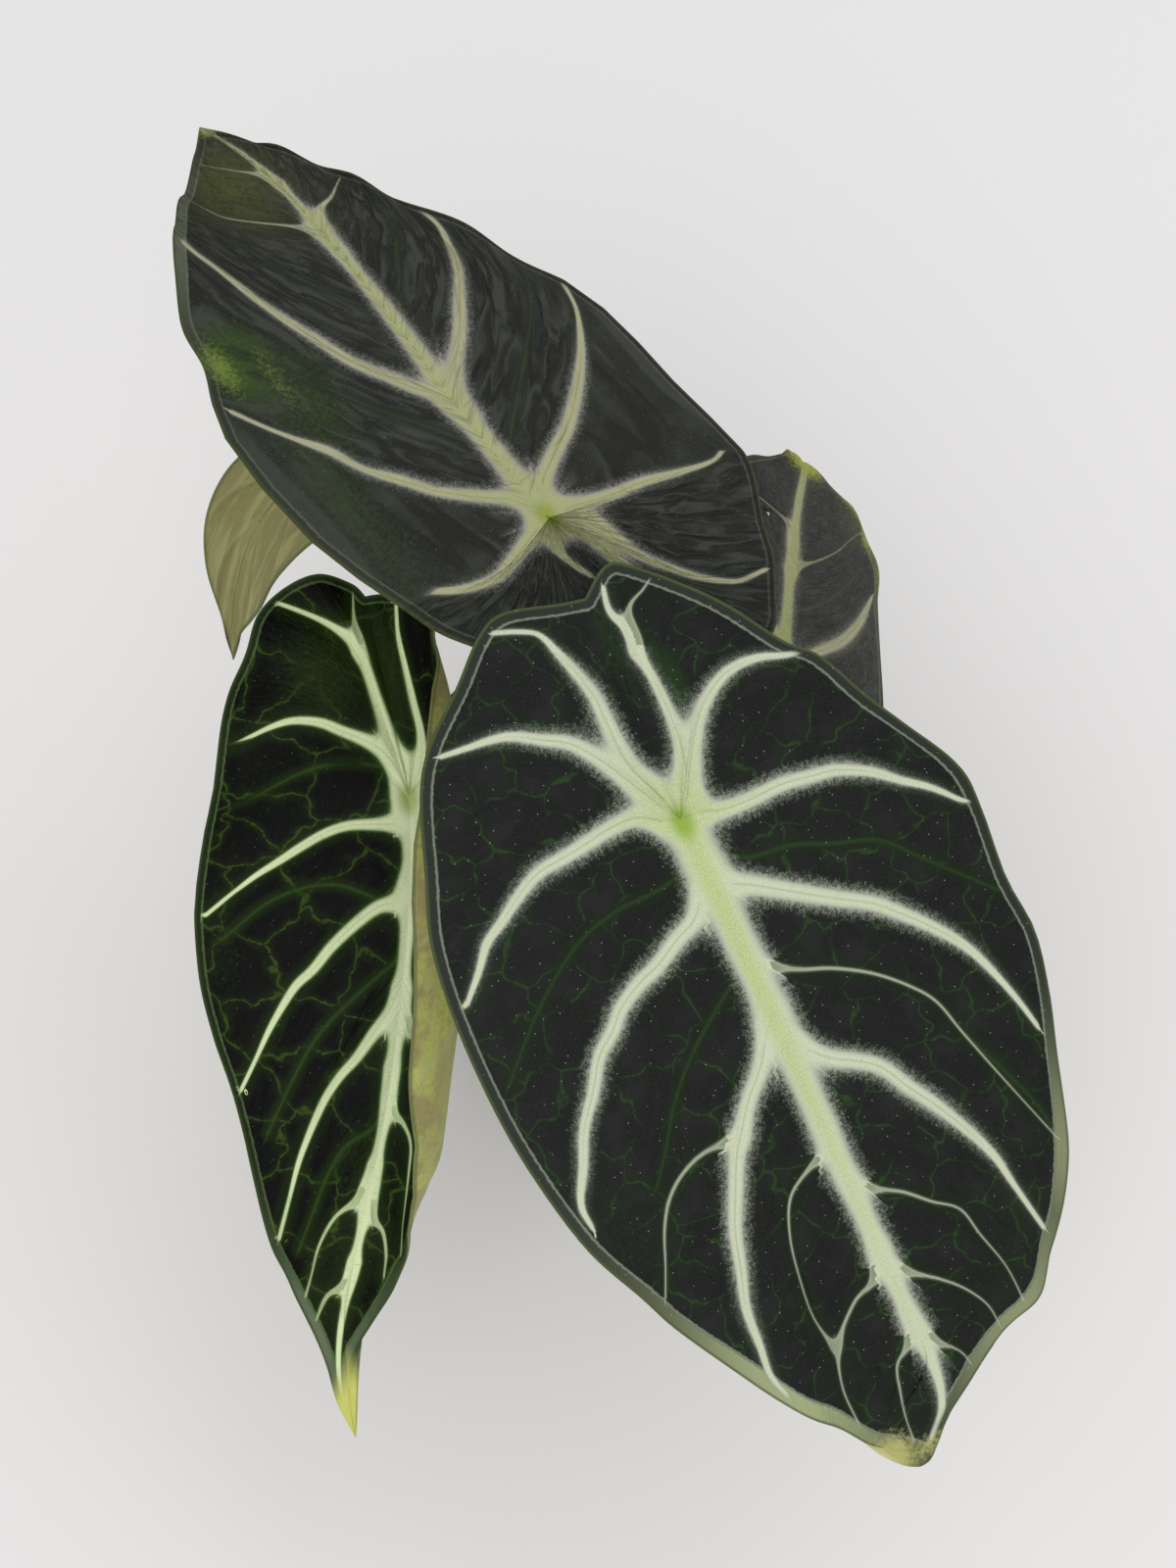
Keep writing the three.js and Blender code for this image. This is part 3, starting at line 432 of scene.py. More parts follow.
            "margin": [(-12, 0), (-15, -4), (-12, -8.5), (-4, -11.5), (6, -13.5), (18, -14.5),
                       (30, -14.5), (41, -13), (51, -10.5), (59, -6.5), (66, -2.5), (72, 0)],
            "ribs": [(2, 0, (-4, -3), (-8, -6)), (5, 1, (6, -5), (12, -9.5)),
                     (7, 14, (22, -5), (31, -9)), (9, 32, (40, -3), (49, -5))],
        },
        "veins": [],
        "thin": [],
        "net": (4.5, 71),
        "tints": [],
    },
}

# How finely each blade is divided: cells behind the petiole, ahead of it, and across a half.
DIVISIONS = {
    "front_leaf": (116, 196, 72),
    "upper_leaf": (110, 190, 66),
    "left_leaf": (110, 190, 66),
    "right_leaf": (80, 150, 50),
    "far_leaf": (50, 110, 30),
}


def colour(hex_text):
    """An sRGB hex colour as linear red, green, blue and one."""
    parts = [int(hex_text[i:i + 2], 16) / 255 for i in (1, 3, 5)]
    return tuple(p / 12.92 if p <= 0.04045 else ((p + 0.055) / 1.055) ** 2.4 for p in parts) + (1.0,)


# How each blade looks. Velvet leaves have a nap of tiny papillae, the young one on the left
# is still glossy. The colours come first: the dark skin, also painted as shade in the valleys
# of creases, and the lighter tone of its nap with the velvet's sheen painted in, also painted
# as highlight on the crests of creases; then the net of fine veins with the halo beside them,
# the thin veins, the silver, core, stem and seam of the stout ones with their fringe of down,
# the slight ones, the heart over the petiole, the rim line, band and edge of the margin, the
# tail of the tip, green, olive and pale patches, and the underside. Then come numbers, with
# lengths in millimetres:
# feather, mist, combed, blur: reach of the down, strength of its outer part, how far its
#   strands lie across the vein, and softness of a vein's edge
# slim, slight_by: width of side veins against the measured one, and strength of "slight"
# net_from, net_strength, net_width, halo_reach: where the net starts, and how it is drawn
# rim_at, wide_by, line: place of the rim line, how far a wide band moves it in, and how
#   clear it stays there
# stem_fade, stem_reach: how far "stem" runs along the midrib and round the petiole
# tail_row, tail_soft: the row where "tail" starts, and its softness
# crease, crease_scale, pucker, wrinkle: strength of the painted light on the crests of the
#   creases and the painted shade in their valleys, their fineness and relief, and height of
#   the wrinkles in the mesh
# dust, roughness, shine: of the top, then under_vein and flush: strengths underneath
COMMON_LOOK = {
    "under": "#83864f",
    "blur": 0.5, "slim": 0.9, "net_from": 0.3, "net_width": 0.35,
    "stem_fade": 75.0, "stem_reach": 8.0, "tail_soft": 1.2, "crease_scale": 1.0,
    "dust": 0.25, "roughness": 0.6, "shine": 0.18, "under_vein": 0.7, "flush": 0.6,
}
LOOKS = {
    "front_leaf": {
        **COMMON_LOOK, "material": "velvety_leaf_mature",
        "dark": "#10110f", "nap_and_sheen": "#272926", "halo": "#15240e", "net": "#2c4a20", "thin": "#27401b",
        "silver": "#b3b7a2", "core": "#ccd1b3", "stem": "#b2c46c", "seam": "#7f8762", "fringe": "#9b9f90",
        "slight": "#52693e", "heart": "#8dab38", "rim": "#7d8472", "band": "#2b3129",
        "band_wide": "#a5ad80", "edge": "#4e5a33", "tail": "#c9c687", "green": "#1c3312",
        "olive": "#3b4220", "pale": "#b9b571",
        "feather": 0.65, "mist": 0.6, "combed": 0.35, "slim": 0.78, "slight_by": 0.95,
        "net_strength": 0.6, "net_width": 0.32, "halo_reach": 1.6, "rim_at": 2.0, "wide_by": 1.3, "line": 1.0,
        "stem_fade": 105.0, "stem_reach": 13.0, "tail_row": 1.95, "crease": 0.1, "pucker": 0.3,
        "wrinkle": 0.05, "dust": 0.7, "roughness": 0.62,
    },
    "upper_leaf": {
        **COMMON_LOOK, "material": "velvety_leaf_older",
        "dark": "#1c1d19", "nap_and_sheen": "#3d3f38", "halo": "#20291a", "net": "#2d3524", "thin": "#333c29",
        "silver": "#9a978a", "core": "#a8a882", "stem": "#a7ad74", "seam": "#6d7150", "fringe": "#85837b",
        "slight": "#7f8568", "heart": "#8d9c3e", "rim": "#6b705c", "band": "#20231c",
        "band_wide": "#5f6551", "edge": "#414b29", "tail": "#a9a877", "green": "#33481a",
        "olive": "#464a1f", "pale": "#728636",
        "feather": 0.5, "mist": 0.6, "combed": 0.3, "slim": 0.95, "slight_by": 0.6,
        "net_strength": 0.2, "halo_reach": 1.8, "rim_at": 1.5, "wide_by": 1.0, "line": 0.35,
        "stem_fade": 300.0, "stem_reach": 34.0, "tail_row": 1.975, "crease": 0.75, "crease_scale": 1.05,
        "pucker": 1.0, "wrinkle": 0.12,
    },
    "left_leaf": {
        **COMMON_LOOK, "material": "glossy_leaf_young",
        "dark": "#030402", "nap_and_sheen": "#0a0c07", "halo": "#1c2c07", "net": "#46601f", "thin": "#2f4c18",
        "silver": "#9db57a", "core": "#dbe6b6", "stem": "#ecf5c6", "seam": "#9aab6c", "fringe": "#5d7a44",
        "slight": "#7f9a5a", "heart": "#a9b86a", "rim": "#55693c", "band": "#1b2912",
        "band_wide": "#66745a", "edge": "#3a4a24", "tail": "#cfcf70", "green": "#1c2c09",
        "olive": "#3a4a1c", "pale": "#b2ac58", "under": "#b8ba66",
        "feather": 0.12, "mist": 0.15, "combed": 0.3, "slight_by": 0.5,
        "net_from": -0.1, "net_strength": 0.5, "net_width": 0.38, "halo_reach": 1.9,
        "rim_at": 1.5, "wide_by": 0.6, "line": 0.8, "tail_row": 1.885, "tail_soft": 2.5,
        "crease": 0.15, "pucker": 0.25, "wrinkle": 0.04,
        "roughness": 0.36, "shine": 0.08, "under_vein": 0.6, "flush": 0.5,
    },
    "right_leaf": {
        **COMMON_LOOK, "material": "velvety_leaf_dusty",
        "dark": "#232420", "nap_and_sheen": "#42433c", "halo": "#30352a", "net": "#3d4236", "thin": "#454a3b",
        "silver": "#85866f", "core": "#a8a984", "stem": "#9ea45e", "seam": "#7c8056", "fringe": "#6f6d62",
        "slight": "#6d7050", "heart": "#8d9640", "rim": "#6c7358", "band": "#343a27",
        "band_wide": "#515a3b", "edge": "#4d5830", "tail": "#a5ab4b", "green": "#45562a",
        "olive": "#5a6030", "pale": "#a0a63e",
        "feather": 0.55, "mist": 0.6, "combed": 0.4, "blur": 0.45, "slight_by": 0.6,
        "net_strength": 0.2, "halo_reach": 1.6, "rim_at": 1.6, "wide_by": 1.0, "line": 0.7,
        "stem_fade": 150.0, "stem_reach": 10.0, "tail_row": 2.5, "crease": 0.6, "crease_scale": 2.2,
        "pucker": 0.6, "wrinkle": 0.07,
    },
    "far_leaf": {
        **COMMON_LOOK, "material": "unfurling_leaf",
        "dark": "#20271a", "nap_and_sheen": "#333a2a", "halo": "#2c4018", "net": "#43552c", "thin": "#43552c",
        "silver": "#85906a", "core": "#aab574", "stem": "#9aa860", "seam": "#8b9458", "fringe": "#85906a",
        "slight": "#7f8a58", "heart": "#8fa040", "rim": "#6f7c46", "band": "#3d4a26",
        "band_wide": "#4f5b30", "edge": "#4a5527", "tail": "#9aa05c", "green": "#34491d",
        "olive": "#4f5726", "pale": "#9aa05c", "under": "#878352",
        "feather": 0.4, "mist": 0.2, "combed": 0.5, "blur": 0.3, "slim": 1.0, "slight_by": 0.4,
        "net_strength": 0.5, "halo_reach": 1.4, "rim_at": 1.2, "wide_by": 0.0, "line": 0.8,
        "tail_row": 2.5, "crease": 0.1, "pucker": 0.2, "wrinkle": 0.02,
        "dust": 0.1, "roughness": 0.5, "shine": 0.25, "under_vein": 0.12, "flush": 0.1,
    },
}

# The three numbers that each attribute of a blade's mesh carries to its material. A line's
# offset is signed, "far" is the plain distance and "half" its half width. "Run" is the way
# along a vein, "pooled" the distance outside all veins together.
MARKS = {
    "leaf_mm": ("x", "y", "side"),
    "vein": ("vein_offset", "vein_far", "vein_half"),
    "vein_run": ("run", "central", "pooled"),
    "thin": ("thin_offset", "thin_far", "thin_half"),
    "rim": ("rim", "heart", "stripe"),
    "tint": ("green", "olive", "pale"),
    "lie": ("wide", "across", "along"),
}

# Crumbs on the mix: how much room one takes against its size, and how far its three axes
# are stretched.
CRUMBS = {
    "chip": (1.9, ((0.8, 1.6), (0.5, 0.9), (0.2, 0.45))),
    "grain": (1.4, ((0.8, 1.2), (0.7, 1.1), (0.5, 0.9))),
}

# Half sizes, in millimetres, of the peat grains, bark chips and perlite grains.
PEAT_SIZES = (0.35, 1.0)
BARK_SIZES = (0.8, 2.6)
PERLITE_SIZES = (0.5, 1.5)

# The stage, in metres and degrees: radius of the floor and how far it lies below the pot,
# the camera, and each lamp's name, place, size and power against the key light's.
FLOOR_RADIUS = 4.0
FLOOR_DROP = 0.0002
CAMERA_PLACE = (-0.007, -0.21636, 0.46815)
CAMERA_TILT = 30
LENS_MM = 49.5
SENSOR_MM = 36.0
LAMPS_AIM = (0, 0, 0.1)
LAMPS = (("key", (0.5, 0.75, 1.35), 1.3, 1.0), ("fill", (-0.15, -1.0, 1.1), 1.2, 1.7))


class PlantSizes(bpy.types.PropertyGroup):
    """Sizes that a user may change before building the pieces."""

    blade_thickness: bpy.props.FloatProperty(
        name="Blade thickness", description="Thickness of a leaf blade between its veins",
        default=0.0008, min=0.0005, max=0.0015, subtype="DISTANCE", unit="LENGTH")
    vein_width: bpy.props.FloatProperty(
        name="Vein width", description="Width of the pale veins against the measured ones",
        default=1.0, min=0.5, max=1.6, subtype="FACTOR")
    vein_groove: bpy.props.FloatProperty(
        name="Vein groove", description="How far a vein sinks into the top of its blade",
        default=0.00016, min=0.0, max=0.0005, subtype="DISTANCE", unit="LENGTH")
    granules: bpy.props.IntProperty(
        name="Granules", description="Peat grains on the potting mix, and a sixth as many bark chips",
        default=1500, min=0, max=3000)
    perlite: bpy.props.IntProperty(
        name="Perlite grains", description="White grains among the potting mix",
        default=130, min=0, max=500)
    seed: bpy.props.IntProperty(
        name="Seed", description="Start of every random choice, so that each build is alike",
        default=8, min=0)


class PlantColours(bpy.types.PropertyGroup):
    """Colours that a user may change before building the pieces."""

    flush: bpy.props.FloatVectorProperty(
        name="Underside flush", description="Purple-pink flush towards the margins underneath",
        default=colour("#84685c")[:3], subtype="COLOR", min=0.0, max=1.0)
    petiole: bpy.props.FloatVectorProperty(
        name="Petiole", description="Light green skin of the leaf stalks",
        default=colour("#8c9a58")[:3], subtype="COLOR", min=0.0, max=1.0)
    plastic: bpy.props.FloatVectorProperty(
        name="Pot plastic", description="Black moulded plastic of the nursery pot",
        default=colour("#232324")[:3], subtype="COLOR", min=0.0, max=1.0)


class StageSettings(bpy.types.PropertyGroup):
    """Floor and light of the picture."""

    floor: bpy.props.FloatVectorProperty(
        name="Floor", description="Plain pale floor",
        default=colour("#efece9")[:3], subtype="COLOR", min=0.0, max=1.0)
    key_power: bpy.props.FloatProperty(
        name="Key light", description="Power of the large soft light above the plant",
        default=4.0, min=0.0, unit="POWER")
    sky: bpy.props.FloatProperty(
        name="Surrounding light", description="Strength of the even light from all round",
        default=0.80, min=0.0)


def new_material(name):
    """An empty node material and its tree."""
    material = bpy.data.materials.new(name)
    material.use_nodes = True
    material.node_tree.nodes.clear()
    return material, material.node_tree


def add(tree, kind, links=None, out=0, **settings):
    """Adds a node, sets it up, fills or links its inputs and returns the chosen output."""
    made = tree.nodes.new("ShaderNode" + kind)
    for key, value in settings.items():
        setattr(made, key, value)
    for key, value in (links or {}).items():
        if isinstance(value, bpy.types.NodeSocket):
            tree.links.new(value, made.inputs[key])
        else:
            made.inputs[key].default_value = value
    return made.outputs[out] if made.outputs else None


def mask(tree, *factors):
    """The product of its factors. One is a socket or a number, or a tuple (socket, start, end,
    most) that rises smoothly from 0 at start to most, or else 1, at end."""
    product = None
    for factor in factors:
        if isinstance(factor, tuple):
            value, start, end, *most = factor
            limits = {"Value": value, "From Min": start, "From Max": end, "To Max": most[0] if most else 1.0}
            factor = add(tree, "MapRange", limits, interpolation_type="SMOOTHSTEP")
        if product is None:
            product = factor
        else:
            product = add(tree, "Math", {0: product, 1: factor}, operation="MULTIPLY")
    return product


def painted(tree, base, coats):
    """A base colour with coats laid over it in turn, each a colour and the factors of its mask."""
    skin = base
    for shade, *factors in coats:
        skin = add(tree, "Mix", {0: mask(tree, *factors), 6: skin, 7: shade}, out=2, data_type="RGBA")
    return skin


def finish_piece(name, bm, material, node=None, smooth_angle=None):
    """Turns a bmesh into a piece that rides on the plant, in metres, and frees the bmesh."""
    if bm.calc_volume(signed=True) < 0:
        bmesh.ops.reverse_faces(bm, faces=bm.faces)
    mesh = bpy.data.meshes.new(name)
    bm.to_mesh(mesh)
    bm.free()
    mesh.materials.append(material)
    mesh.shade_smooth()
    if smooth_angle is not None:
        mesh.set_sharp_from_angle(angle=math.radians(smooth_angle))
    piece = bpy.data.objects.new(name, mesh)
    bpy.context.scene.collection.objects.link(piece)
    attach(piece, BODY)
    if node:
        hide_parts(node)
    return piece


# Flat shape of a blade

def blend(p0, p1, p2, p3, f):
    """A smooth step from p1 to p2 whose slopes come from the points before and after."""
    v0, v1 = (p2 - p0) / 2, (p3 - p1) / 2
    return (2 * p1 - 2 * p2 + v0 + v1) * f ** 3 + (3 * p2 - 3 * p1 - 2 * v0 - v1) * f ** 2 + v0 * f + p1


def curve(points, t):
    """Smooth curve through points, uniform in t from 0 to 1."""
    p = np.asarray(points, float)
    last = len(p) - 1
    at = np.clip(np.asarray(t, float), 0, 1) * last
    i = np.minimum(at.astype(int), last)
    return blend(*(p[np.clip(i + k, 0, last)] for k in (-1, 0, 1, 2)), (at - i)[..., None])


def keyed(keys, x):
    """Value at x on straight lines between pairs of place and value."""
    return np.interp(x, [k[0] for k in keys], [k[1] for k in keys])


def way_along(path):
    """Length of a path from its start to each of its points."""
    return np.concatenate([[0], np.cumsum(np.linalg.norm(np.diff(path, axis=0), axis=1))])


class HalfBlade:
    """Maps row and share to the flat blade. Row runs 0 to 1 over the fan behind the petiole
    and 1 to 2 along the midrib, share runs 0 to 1 from the midrib to the margin."""

    def __init__(self, half, midrib):
        self.margin, self.midrib = half["margin"], midrib
        self.t = np.linspace(0, 1, 201)
        self.run = way_along(curve(midrib, self.t))
        self.length = self.run[-1]
        self.last = len(self.margin) - 1
        notch, tip = np.array(self.margin[0]), np.array(self.margin[-1])
        self.lines = [(0, 0, notch / 3, notch * 2 / 3), *half["ribs"], (self.last, self.length, tip, tip)]
        self.fan_end = max(v[0] for v in half["ribs"] if v[1] == 0)
        self.ahead = [v for v in self.lines if v[0] >= self.fan_end]
        self.rib_rows = [self.row_of(v) for v in half["ribs"]]

    def row_of(self, rib):
        """Row on which a rib lies."""
        return rib[0] / self.fan_end if rib[0] < self.fan_end else 1 + rib[1] / self.length

    def flat(self, row, share):
        """Points of the flat blade at rows and shares. They lie on curves from the midrib to the
        margin, through two points worked out from those of the ribs."""
        ends = [v[0] for v in self.lines]
        along = np.interp((row - 1) * self.length, [v[1] for v in self.ahead], [v[0] for v in self.ahead])
        end = np.where(row <= 1, row * self.fan_end, along)
        start = np.interp(end, ends, [v[1] for v in self.lines])
        root = curve(self.midrib, np.interp(start, self.run, self.t))
        via = [np.stack([np.interp(end, ends, [v[k][c] for v in self.lines]) for c in (0, 1)], -1)
               for k in (2, 3)]
        stops = np.stack([root, *via, curve(self.margin, end / self.last)])
        last = len(stops) - 1
        at = np.clip(share, 0, 1) * last
        i = np.minimum(at.astype(int), last)
        pick = np.arange(len(i))
        return blend(*(stops[np.clip(i + k, 0, last), pick] for k in (-1, 0, 1, 2)), (at - i)[:, None])

    def quilt(self, row, share):
        """Pillow of the tissue between two ribs, from 0 on a rib to 1 in the middle."""
        marks = np.array([0, *self.rib_rows, 2])
        i = np.searchsorted(marks, row, side="right")
        inside = (i >= 1) & (i < len(marks))
        low, high = marks[np.clip(i - 1, 0, len(marks) - 1)], marks[np.clip(i, 0, len(marks) - 1)]
        part = np.where(inside, (row - low) / np.maximum(high - low, 1e-9), 0)
        bulge = np.clip(np.sin(np.pi * np.minimum(1, share * 1.05)), 0, 1) ** 0.7
        return np.where(inside, np.sin(np.pi * part) * bulge, 0)


# Bent shape of a blade

def heading(leaf, x):
    """Direction of the midrib at x, from the arch and the sweep of the blade."""
    a, s = np.radians(keyed(leaf["arch"], x)), np.radians(keyed(leaf["sweep"], x))
    return np.stack([np.cos(a) * np.cos(s), np.cos(a) * np.sin(s), -np.sin(a)], -1)


def bend(leaf, x, y):
    """A flat point carried onto the arched, swept and folded blade, in the leaf's own axes."""
    start, length, fold_steps = -60, 220, 12
    spine = np.cumsum(heading(leaf, start + np.arange(length) + 0.5), axis=0)
    spine = np.concatenate([np.zeros((1, 3)), spine])
    spine -= spine[-start]
    base = np.stack([np.interp(x - start, np.arange(len(spine)), spine[:, c]) for c in range(3)], -1)
    s = np.radians(keyed(leaf["sweep"], x))
    across = np.stack([-np.sin(s), np.cos(s), 0 * s], -1)
    up = np.cross(heading(leaf, x), across)
    ease = np.where(y > 0, keyed(leaf["curl_along"], x), 1) if "curl_along" in leaf else 1
    for k in range(fold_steps):
        reach = np.abs(y) * (k + 0.5) / fold_steps
        fold = np.where(y > 0, keyed(leaf["fold_left"], reach), keyed(leaf["fold_right"], reach))
        turn = np.radians(fold) * ease
        base = base + across * (np.cos(turn) * y / fold_steps)[:, None]
        base = base + up * (np.sin(turn) * np.abs(y) / fold_steps)[:, None]
    return base


def blade_normals(leaf, x, y):
    """Direction straight up from the bent sheet at flat points."""
    e = 0.2
    dx = bend(leaf, x + e, y) - bend(leaf, x - e, y)
    dy = bend(leaf, x, y + e) - bend(leaf, x, y - e)
    up = np.cross(dx, dy)
    return up / np.linalg.norm(up, axis=1, keepdims=True)


def leaf_turn(leaf):
    """Turn of a leaf in the plant: roll about its midrib, droop, then heading."""
    roll, droop, turn = (math.radians(v) for v in leaf["turn"])
    return Matrix.Rotation(turn, 3, "Z") @ Matrix.Rotation(droop, 3, "Y") @ Matrix.Rotation(roll, 3, "X")


# Veins of a blade

def near_lines(points, lines):
    """For each flat point the nearest line's signed distance, distance, half width and run,
    then how far the point lies outside all the lines, drawn in softly where lines meet."""
    best = np.full(len(points), 1e9)
    crowd = np.full(len(points), 1e-12)
    out = np.tile([NO_LINE, NO_LINE, 0.3, 0.0], (len(points), 1))
    for widths, stops in lines:
        span = np.linalg.norm(np.diff(stops, axis=0), axis=1).sum()
        path = curve(stops, np.linspace(0, 1, max(4, int(span / LINE_STEP))))
        run = way_along(path)
        near = np.all((points > path.min(0) - LINE_REACH) & (points < path.max(0) + LINE_REACH), axis=1)
        if not near.any():
            continue
        p = points[near]
        d = np.diff(path, axis=0)
        size = (d ** 2).sum(1)
        rel = p[:, None, :] - path[None, :-1]
        k = np.clip((rel * d).sum(-1) / size, 0, 1)
        off = rel - k[..., None] * d
        far = (off ** 2).sum(-1)
        j = far.argmin(1)
        pick = np.arange(len(p))
        distance = np.sqrt(far[pick, j])
        side = np.sign(d[j, 0] * rel[pick, j, 1] - d[j, 1] * rel[pick, j, 0])
        length = run[j] + k[pick, j] * np.sqrt(size[j])
        width = np.interp(length / run[-1], [0, 0.5, 0.85, 1], [*widths, min(widths[2], VEIN_END)])
        score = distance - width
        rows = np.flatnonzero(near)
        crowd[rows] += np.exp(-score / WEB_REACH)
        better = score < best[rows]
        rows = rows[better]
        best[rows] = score[better]
        out[rows] = np.stack([side * distance, distance, width, length], -1)[better]
    return np.column_stack([out, -WEB_REACH * np.log(crowd)])


def joined(vein, halves, inset):
    """A side vein carried on until it meets the line that runs inside the margin."""
    widths, stops = vein
    end = np.array(stops[-1], float)
    ahead = end - np.array(stops[-2], float)
    ahead /= np.linalg.norm(ahead)
    found = []
    for half in halves:
        path = curve(half.margin, np.linspace(0, 1, 400))
        along = np.gradient(path, axis=0)
        step = np.linalg.norm(along, axis=1, keepdims=True)
        along /= step
        inward = np.sign(half.margin[len(half.margin) // 2][1])
        path = path + inset * inward * np.stack([along[:, 1], -along[:, 0]], -1)
        far = np.linalg.norm(path - end, axis=1)
        found.append((far.min(), far.argmin(), path, along, step.mean()))
    gap, j, path, along, step = min(found, key=lambda line: line[0])
    if gap < STRAIGHT_GAP:
        return widths, [*stops, tuple(end + ahead * max(gap, 0.5) * 0.7)]
    if gap > OPEN_GAP:
        return vein
    onward = int(1.1 * gap / step) * (1 if ahead @ along[j] >= 0 else -1)
    goal = path[int(np.clip(j + onward, 6, len(path) - 12))]
    bow = end * 0.25 + (end + ahead * gap * 0.45) * 0.5 + goal * 0.25
    return widths, [*stops, tuple(bow), tuple(goal)]


def measured_veins(leaf, look, halves):
    """The measured veins: the midrib's, then side veins slimmed and joined to the margin's line."""
    veins = leaf["veins"][:1]
    paths = [curve(path, np.linspace(0, 1, 60)) for _, path in leaf["veins"]]
    for i, (widths, path) in enumerate(leaf["veins"][1:], 1):
        if widths[0] > STOUT_VEIN:
            widths = tuple(w * look["slim"] for w in widths)
        else:
            widths = tuple(min(w * look["slim"] * SLIGHT_SLIM, SLIGHT_VEIN) for w in widths)
        others = paths[:i] + paths[i + 1:]
        free = all(np.linalg.norm(other - path[-1], axis=1).min() > MET_GAP for other in others)
        veins.append(joined((widths, path), halves, look["rim_at"]) if free else (widths, path))
    return veins


def rib_veins(leaf, halves):
    """Veins along the midrib and the ribs, for a blade on which none was measured. Their widths
    are those of a blade 106 mm long, in scale."""
    scale = halves[0].length / 106
    middle = [tuple(curve(leaf["midrib"], t)) for t in np.linspace(0, 0.96, 9)]
    veins = [((2.4 * scale, 1.5 * scale, 0.5), [(-1.0, 0), *middle])]
    for half in halves:
        for row in half.rib_rows:
            path = half.flat(np.full(8, row), np.linspace(0, 0.93, 8))
            veins.append(((1.5 * scale, 1.0 * scale, 0.4), [tuple(p) for p in path]))
    return veins


# Mesh of a blade

def blade_sheet(name, halves):
    """A flat grid over row and share with its twin below, and the vertices of each."""
    behind, ahead, across = DIVISIONS[name]
    bm = bmesh.new()
    bmesh.ops.create_grid(bm, x_segments=2 * across, y_segments=behind + ahead, size=1.0)
    for key in ("at", *MARKS):
        bm.verts.layers.float_vector.new(key)
    keep = bm.verts.layers.float_vector["at"]
    grid = np.array([v.co for v in bm.verts])
    step = (grid[:, 1] + 1) / 2 * (behind + ahead)
    row = np.where(step <= behind, step / behind, 1 + (step - behind) / ahead)
    row = np.clip(np.round(row, 6), 0, 2)
    share = 1 - (1 - np.abs(np.round(grid[:, 0], 6))) ** 1.25
    left = grid[:, 0] >= 0
    flat = np.where(left[:, None], halves[0].flat(row, share), halves[1].flat(row, share))
    for v, r, s, l, f in zip(bm.verts, row, share, left, flat):
        v[keep] = (r, s, 1.0 if l else -1.0)
        v.co = (f[0], f[1], 0)
    seams = [v for v, r, s in zip(bm.verts, row, share) if r in (0, 2) or (s == 0 and r <= 1)]
    bmesh.ops.remove_doubles(bm, verts=seams, dist=0.02)
    top = list(bm.verts)
    doubled = bmesh.ops.duplicate(bm, geom=top + list(bm.edges) + list(bm.faces))
    under = [doubled["vert_map"][v] for v in top]
    bmesh.ops.reverse_faces(bm, faces=[g for g in doubled["geom"] if isinstance(g, bmesh.types.BMFace)])
    return bm, top, under


def blade_places(leaf, look, sizes, halves, flat, at):
    """Where each vertex of a sheet lies, and how near the veins and the margin are to it."""
    veins = measured_veins(leaf, look, halves) if leaf["veins"] else rib_veins(leaf, halves)
    veins = [(tuple(w * sizes.vein_width for w in widths), path) for widths, path in veins]
    return SimpleNamespace(
        flat=flat, row=at[:, 0], share=at[:, 1], left=at[:, 2] > 0,
        veins=near_lines(flat, veins),
        thin=near_lines(flat, leaf["thin"]),
        middle=near_lines(flat, [(HAIRLINE, leaf["midrib"])])[:, 1],
        rim=near_lines(flat, [(HAIRLINE, half.margin) for half in halves])[:, 1])


def wrinkles(places):
    """Fine cross wrinkles between the ribs, about 2.6 mm apart, from 0 to 1."""
    x, y = places.flat.T
    drift = (np.sin(places.row * 31 + places.share * 4) + 0.7 * np.sin(places.row * 57 + 2)
             + 0.5 * np.sin(x * 0.4))
    wave = np.sin(2 * np.pi * places.share * SHARE_LENGTH / 2.6 + 1.6 * drift)
    patch = 0.5 + 0.5 * np.sin(x * 0.21 + 1.7) * np.sin(y * 0.27 + 0.6)
    return (0.5 + 0.5 * wave) ** 3 * patch


def blade_lifts(leaf, look, sizes, halves, places):
    """How far the top and the underside lie above the bent sheet, in millimetres."""
    round_over, calm_over, clear_over, ripple_from = 0.55, 2.0, 1.5, 0.25
    row, share, left, rim = places.row, places.share, places.left, places.rim
    from_vein, half_width = places.veins[:, 1], places.veins[:, 2]
    quilt = np.where(left, halves[0].quilt(row, share), halves[1].quilt(row, share))
    size, count, phase = leaf["ripple"]
    ends = np.minimum(1, np.minimum(row, 2 - row) / ripple_from)
    wave = size * ends * share ** 3 * np.sin(count * np.pi * row + phase + np.where(left, 0, 1.9))
    tail_from, tail_drop = leaf.get("tail", (2, 0))
    drop = tail_drop * np.clip((row - tail_from) / max(2 - tail_from, 1e-6), 0, 1)
    body = PILLOW_HEIGHT * quilt + wave - drop

    rounded = np.sqrt(1 - (1 - np.minimum(1, rim / round_over)) ** 2)
    skin = sizes.blade_thickness / MM / 2 * (0.12 + 0.88 * rounded)
    calm = np.minimum(1, rim / calm_over)
    clear = np.clip((from_vein - half_width) / clear_over, 0, 1)
    groove = sizes.vein_groove / MM * np.exp(-(from_vein / (0.5 * half_width + 0.4)) ** 2)
    strands = THIN_VEIN_GROOVE * np.exp(-(places.thin[:, 1] / 0.5) ** 2) * clear
    wrinkle = look["wrinkle"] * wrinkles(places) * clear
    taper = 1 - 0.75 * np.maximum(0, row - 1)
    rib = MIDRIB_HEIGHT * taper * np.exp(-(places.middle / 1.5) ** 2)
    rib = np.maximum(rib, RIB_HEIGHT * (1 - 0.7 * share) * np.exp(-(from_vein / 0.8) ** 2))
    return body + skin + (wrinkle - groove - strands) * calm, body - skin - (rib + 0.6 * strands) * calm


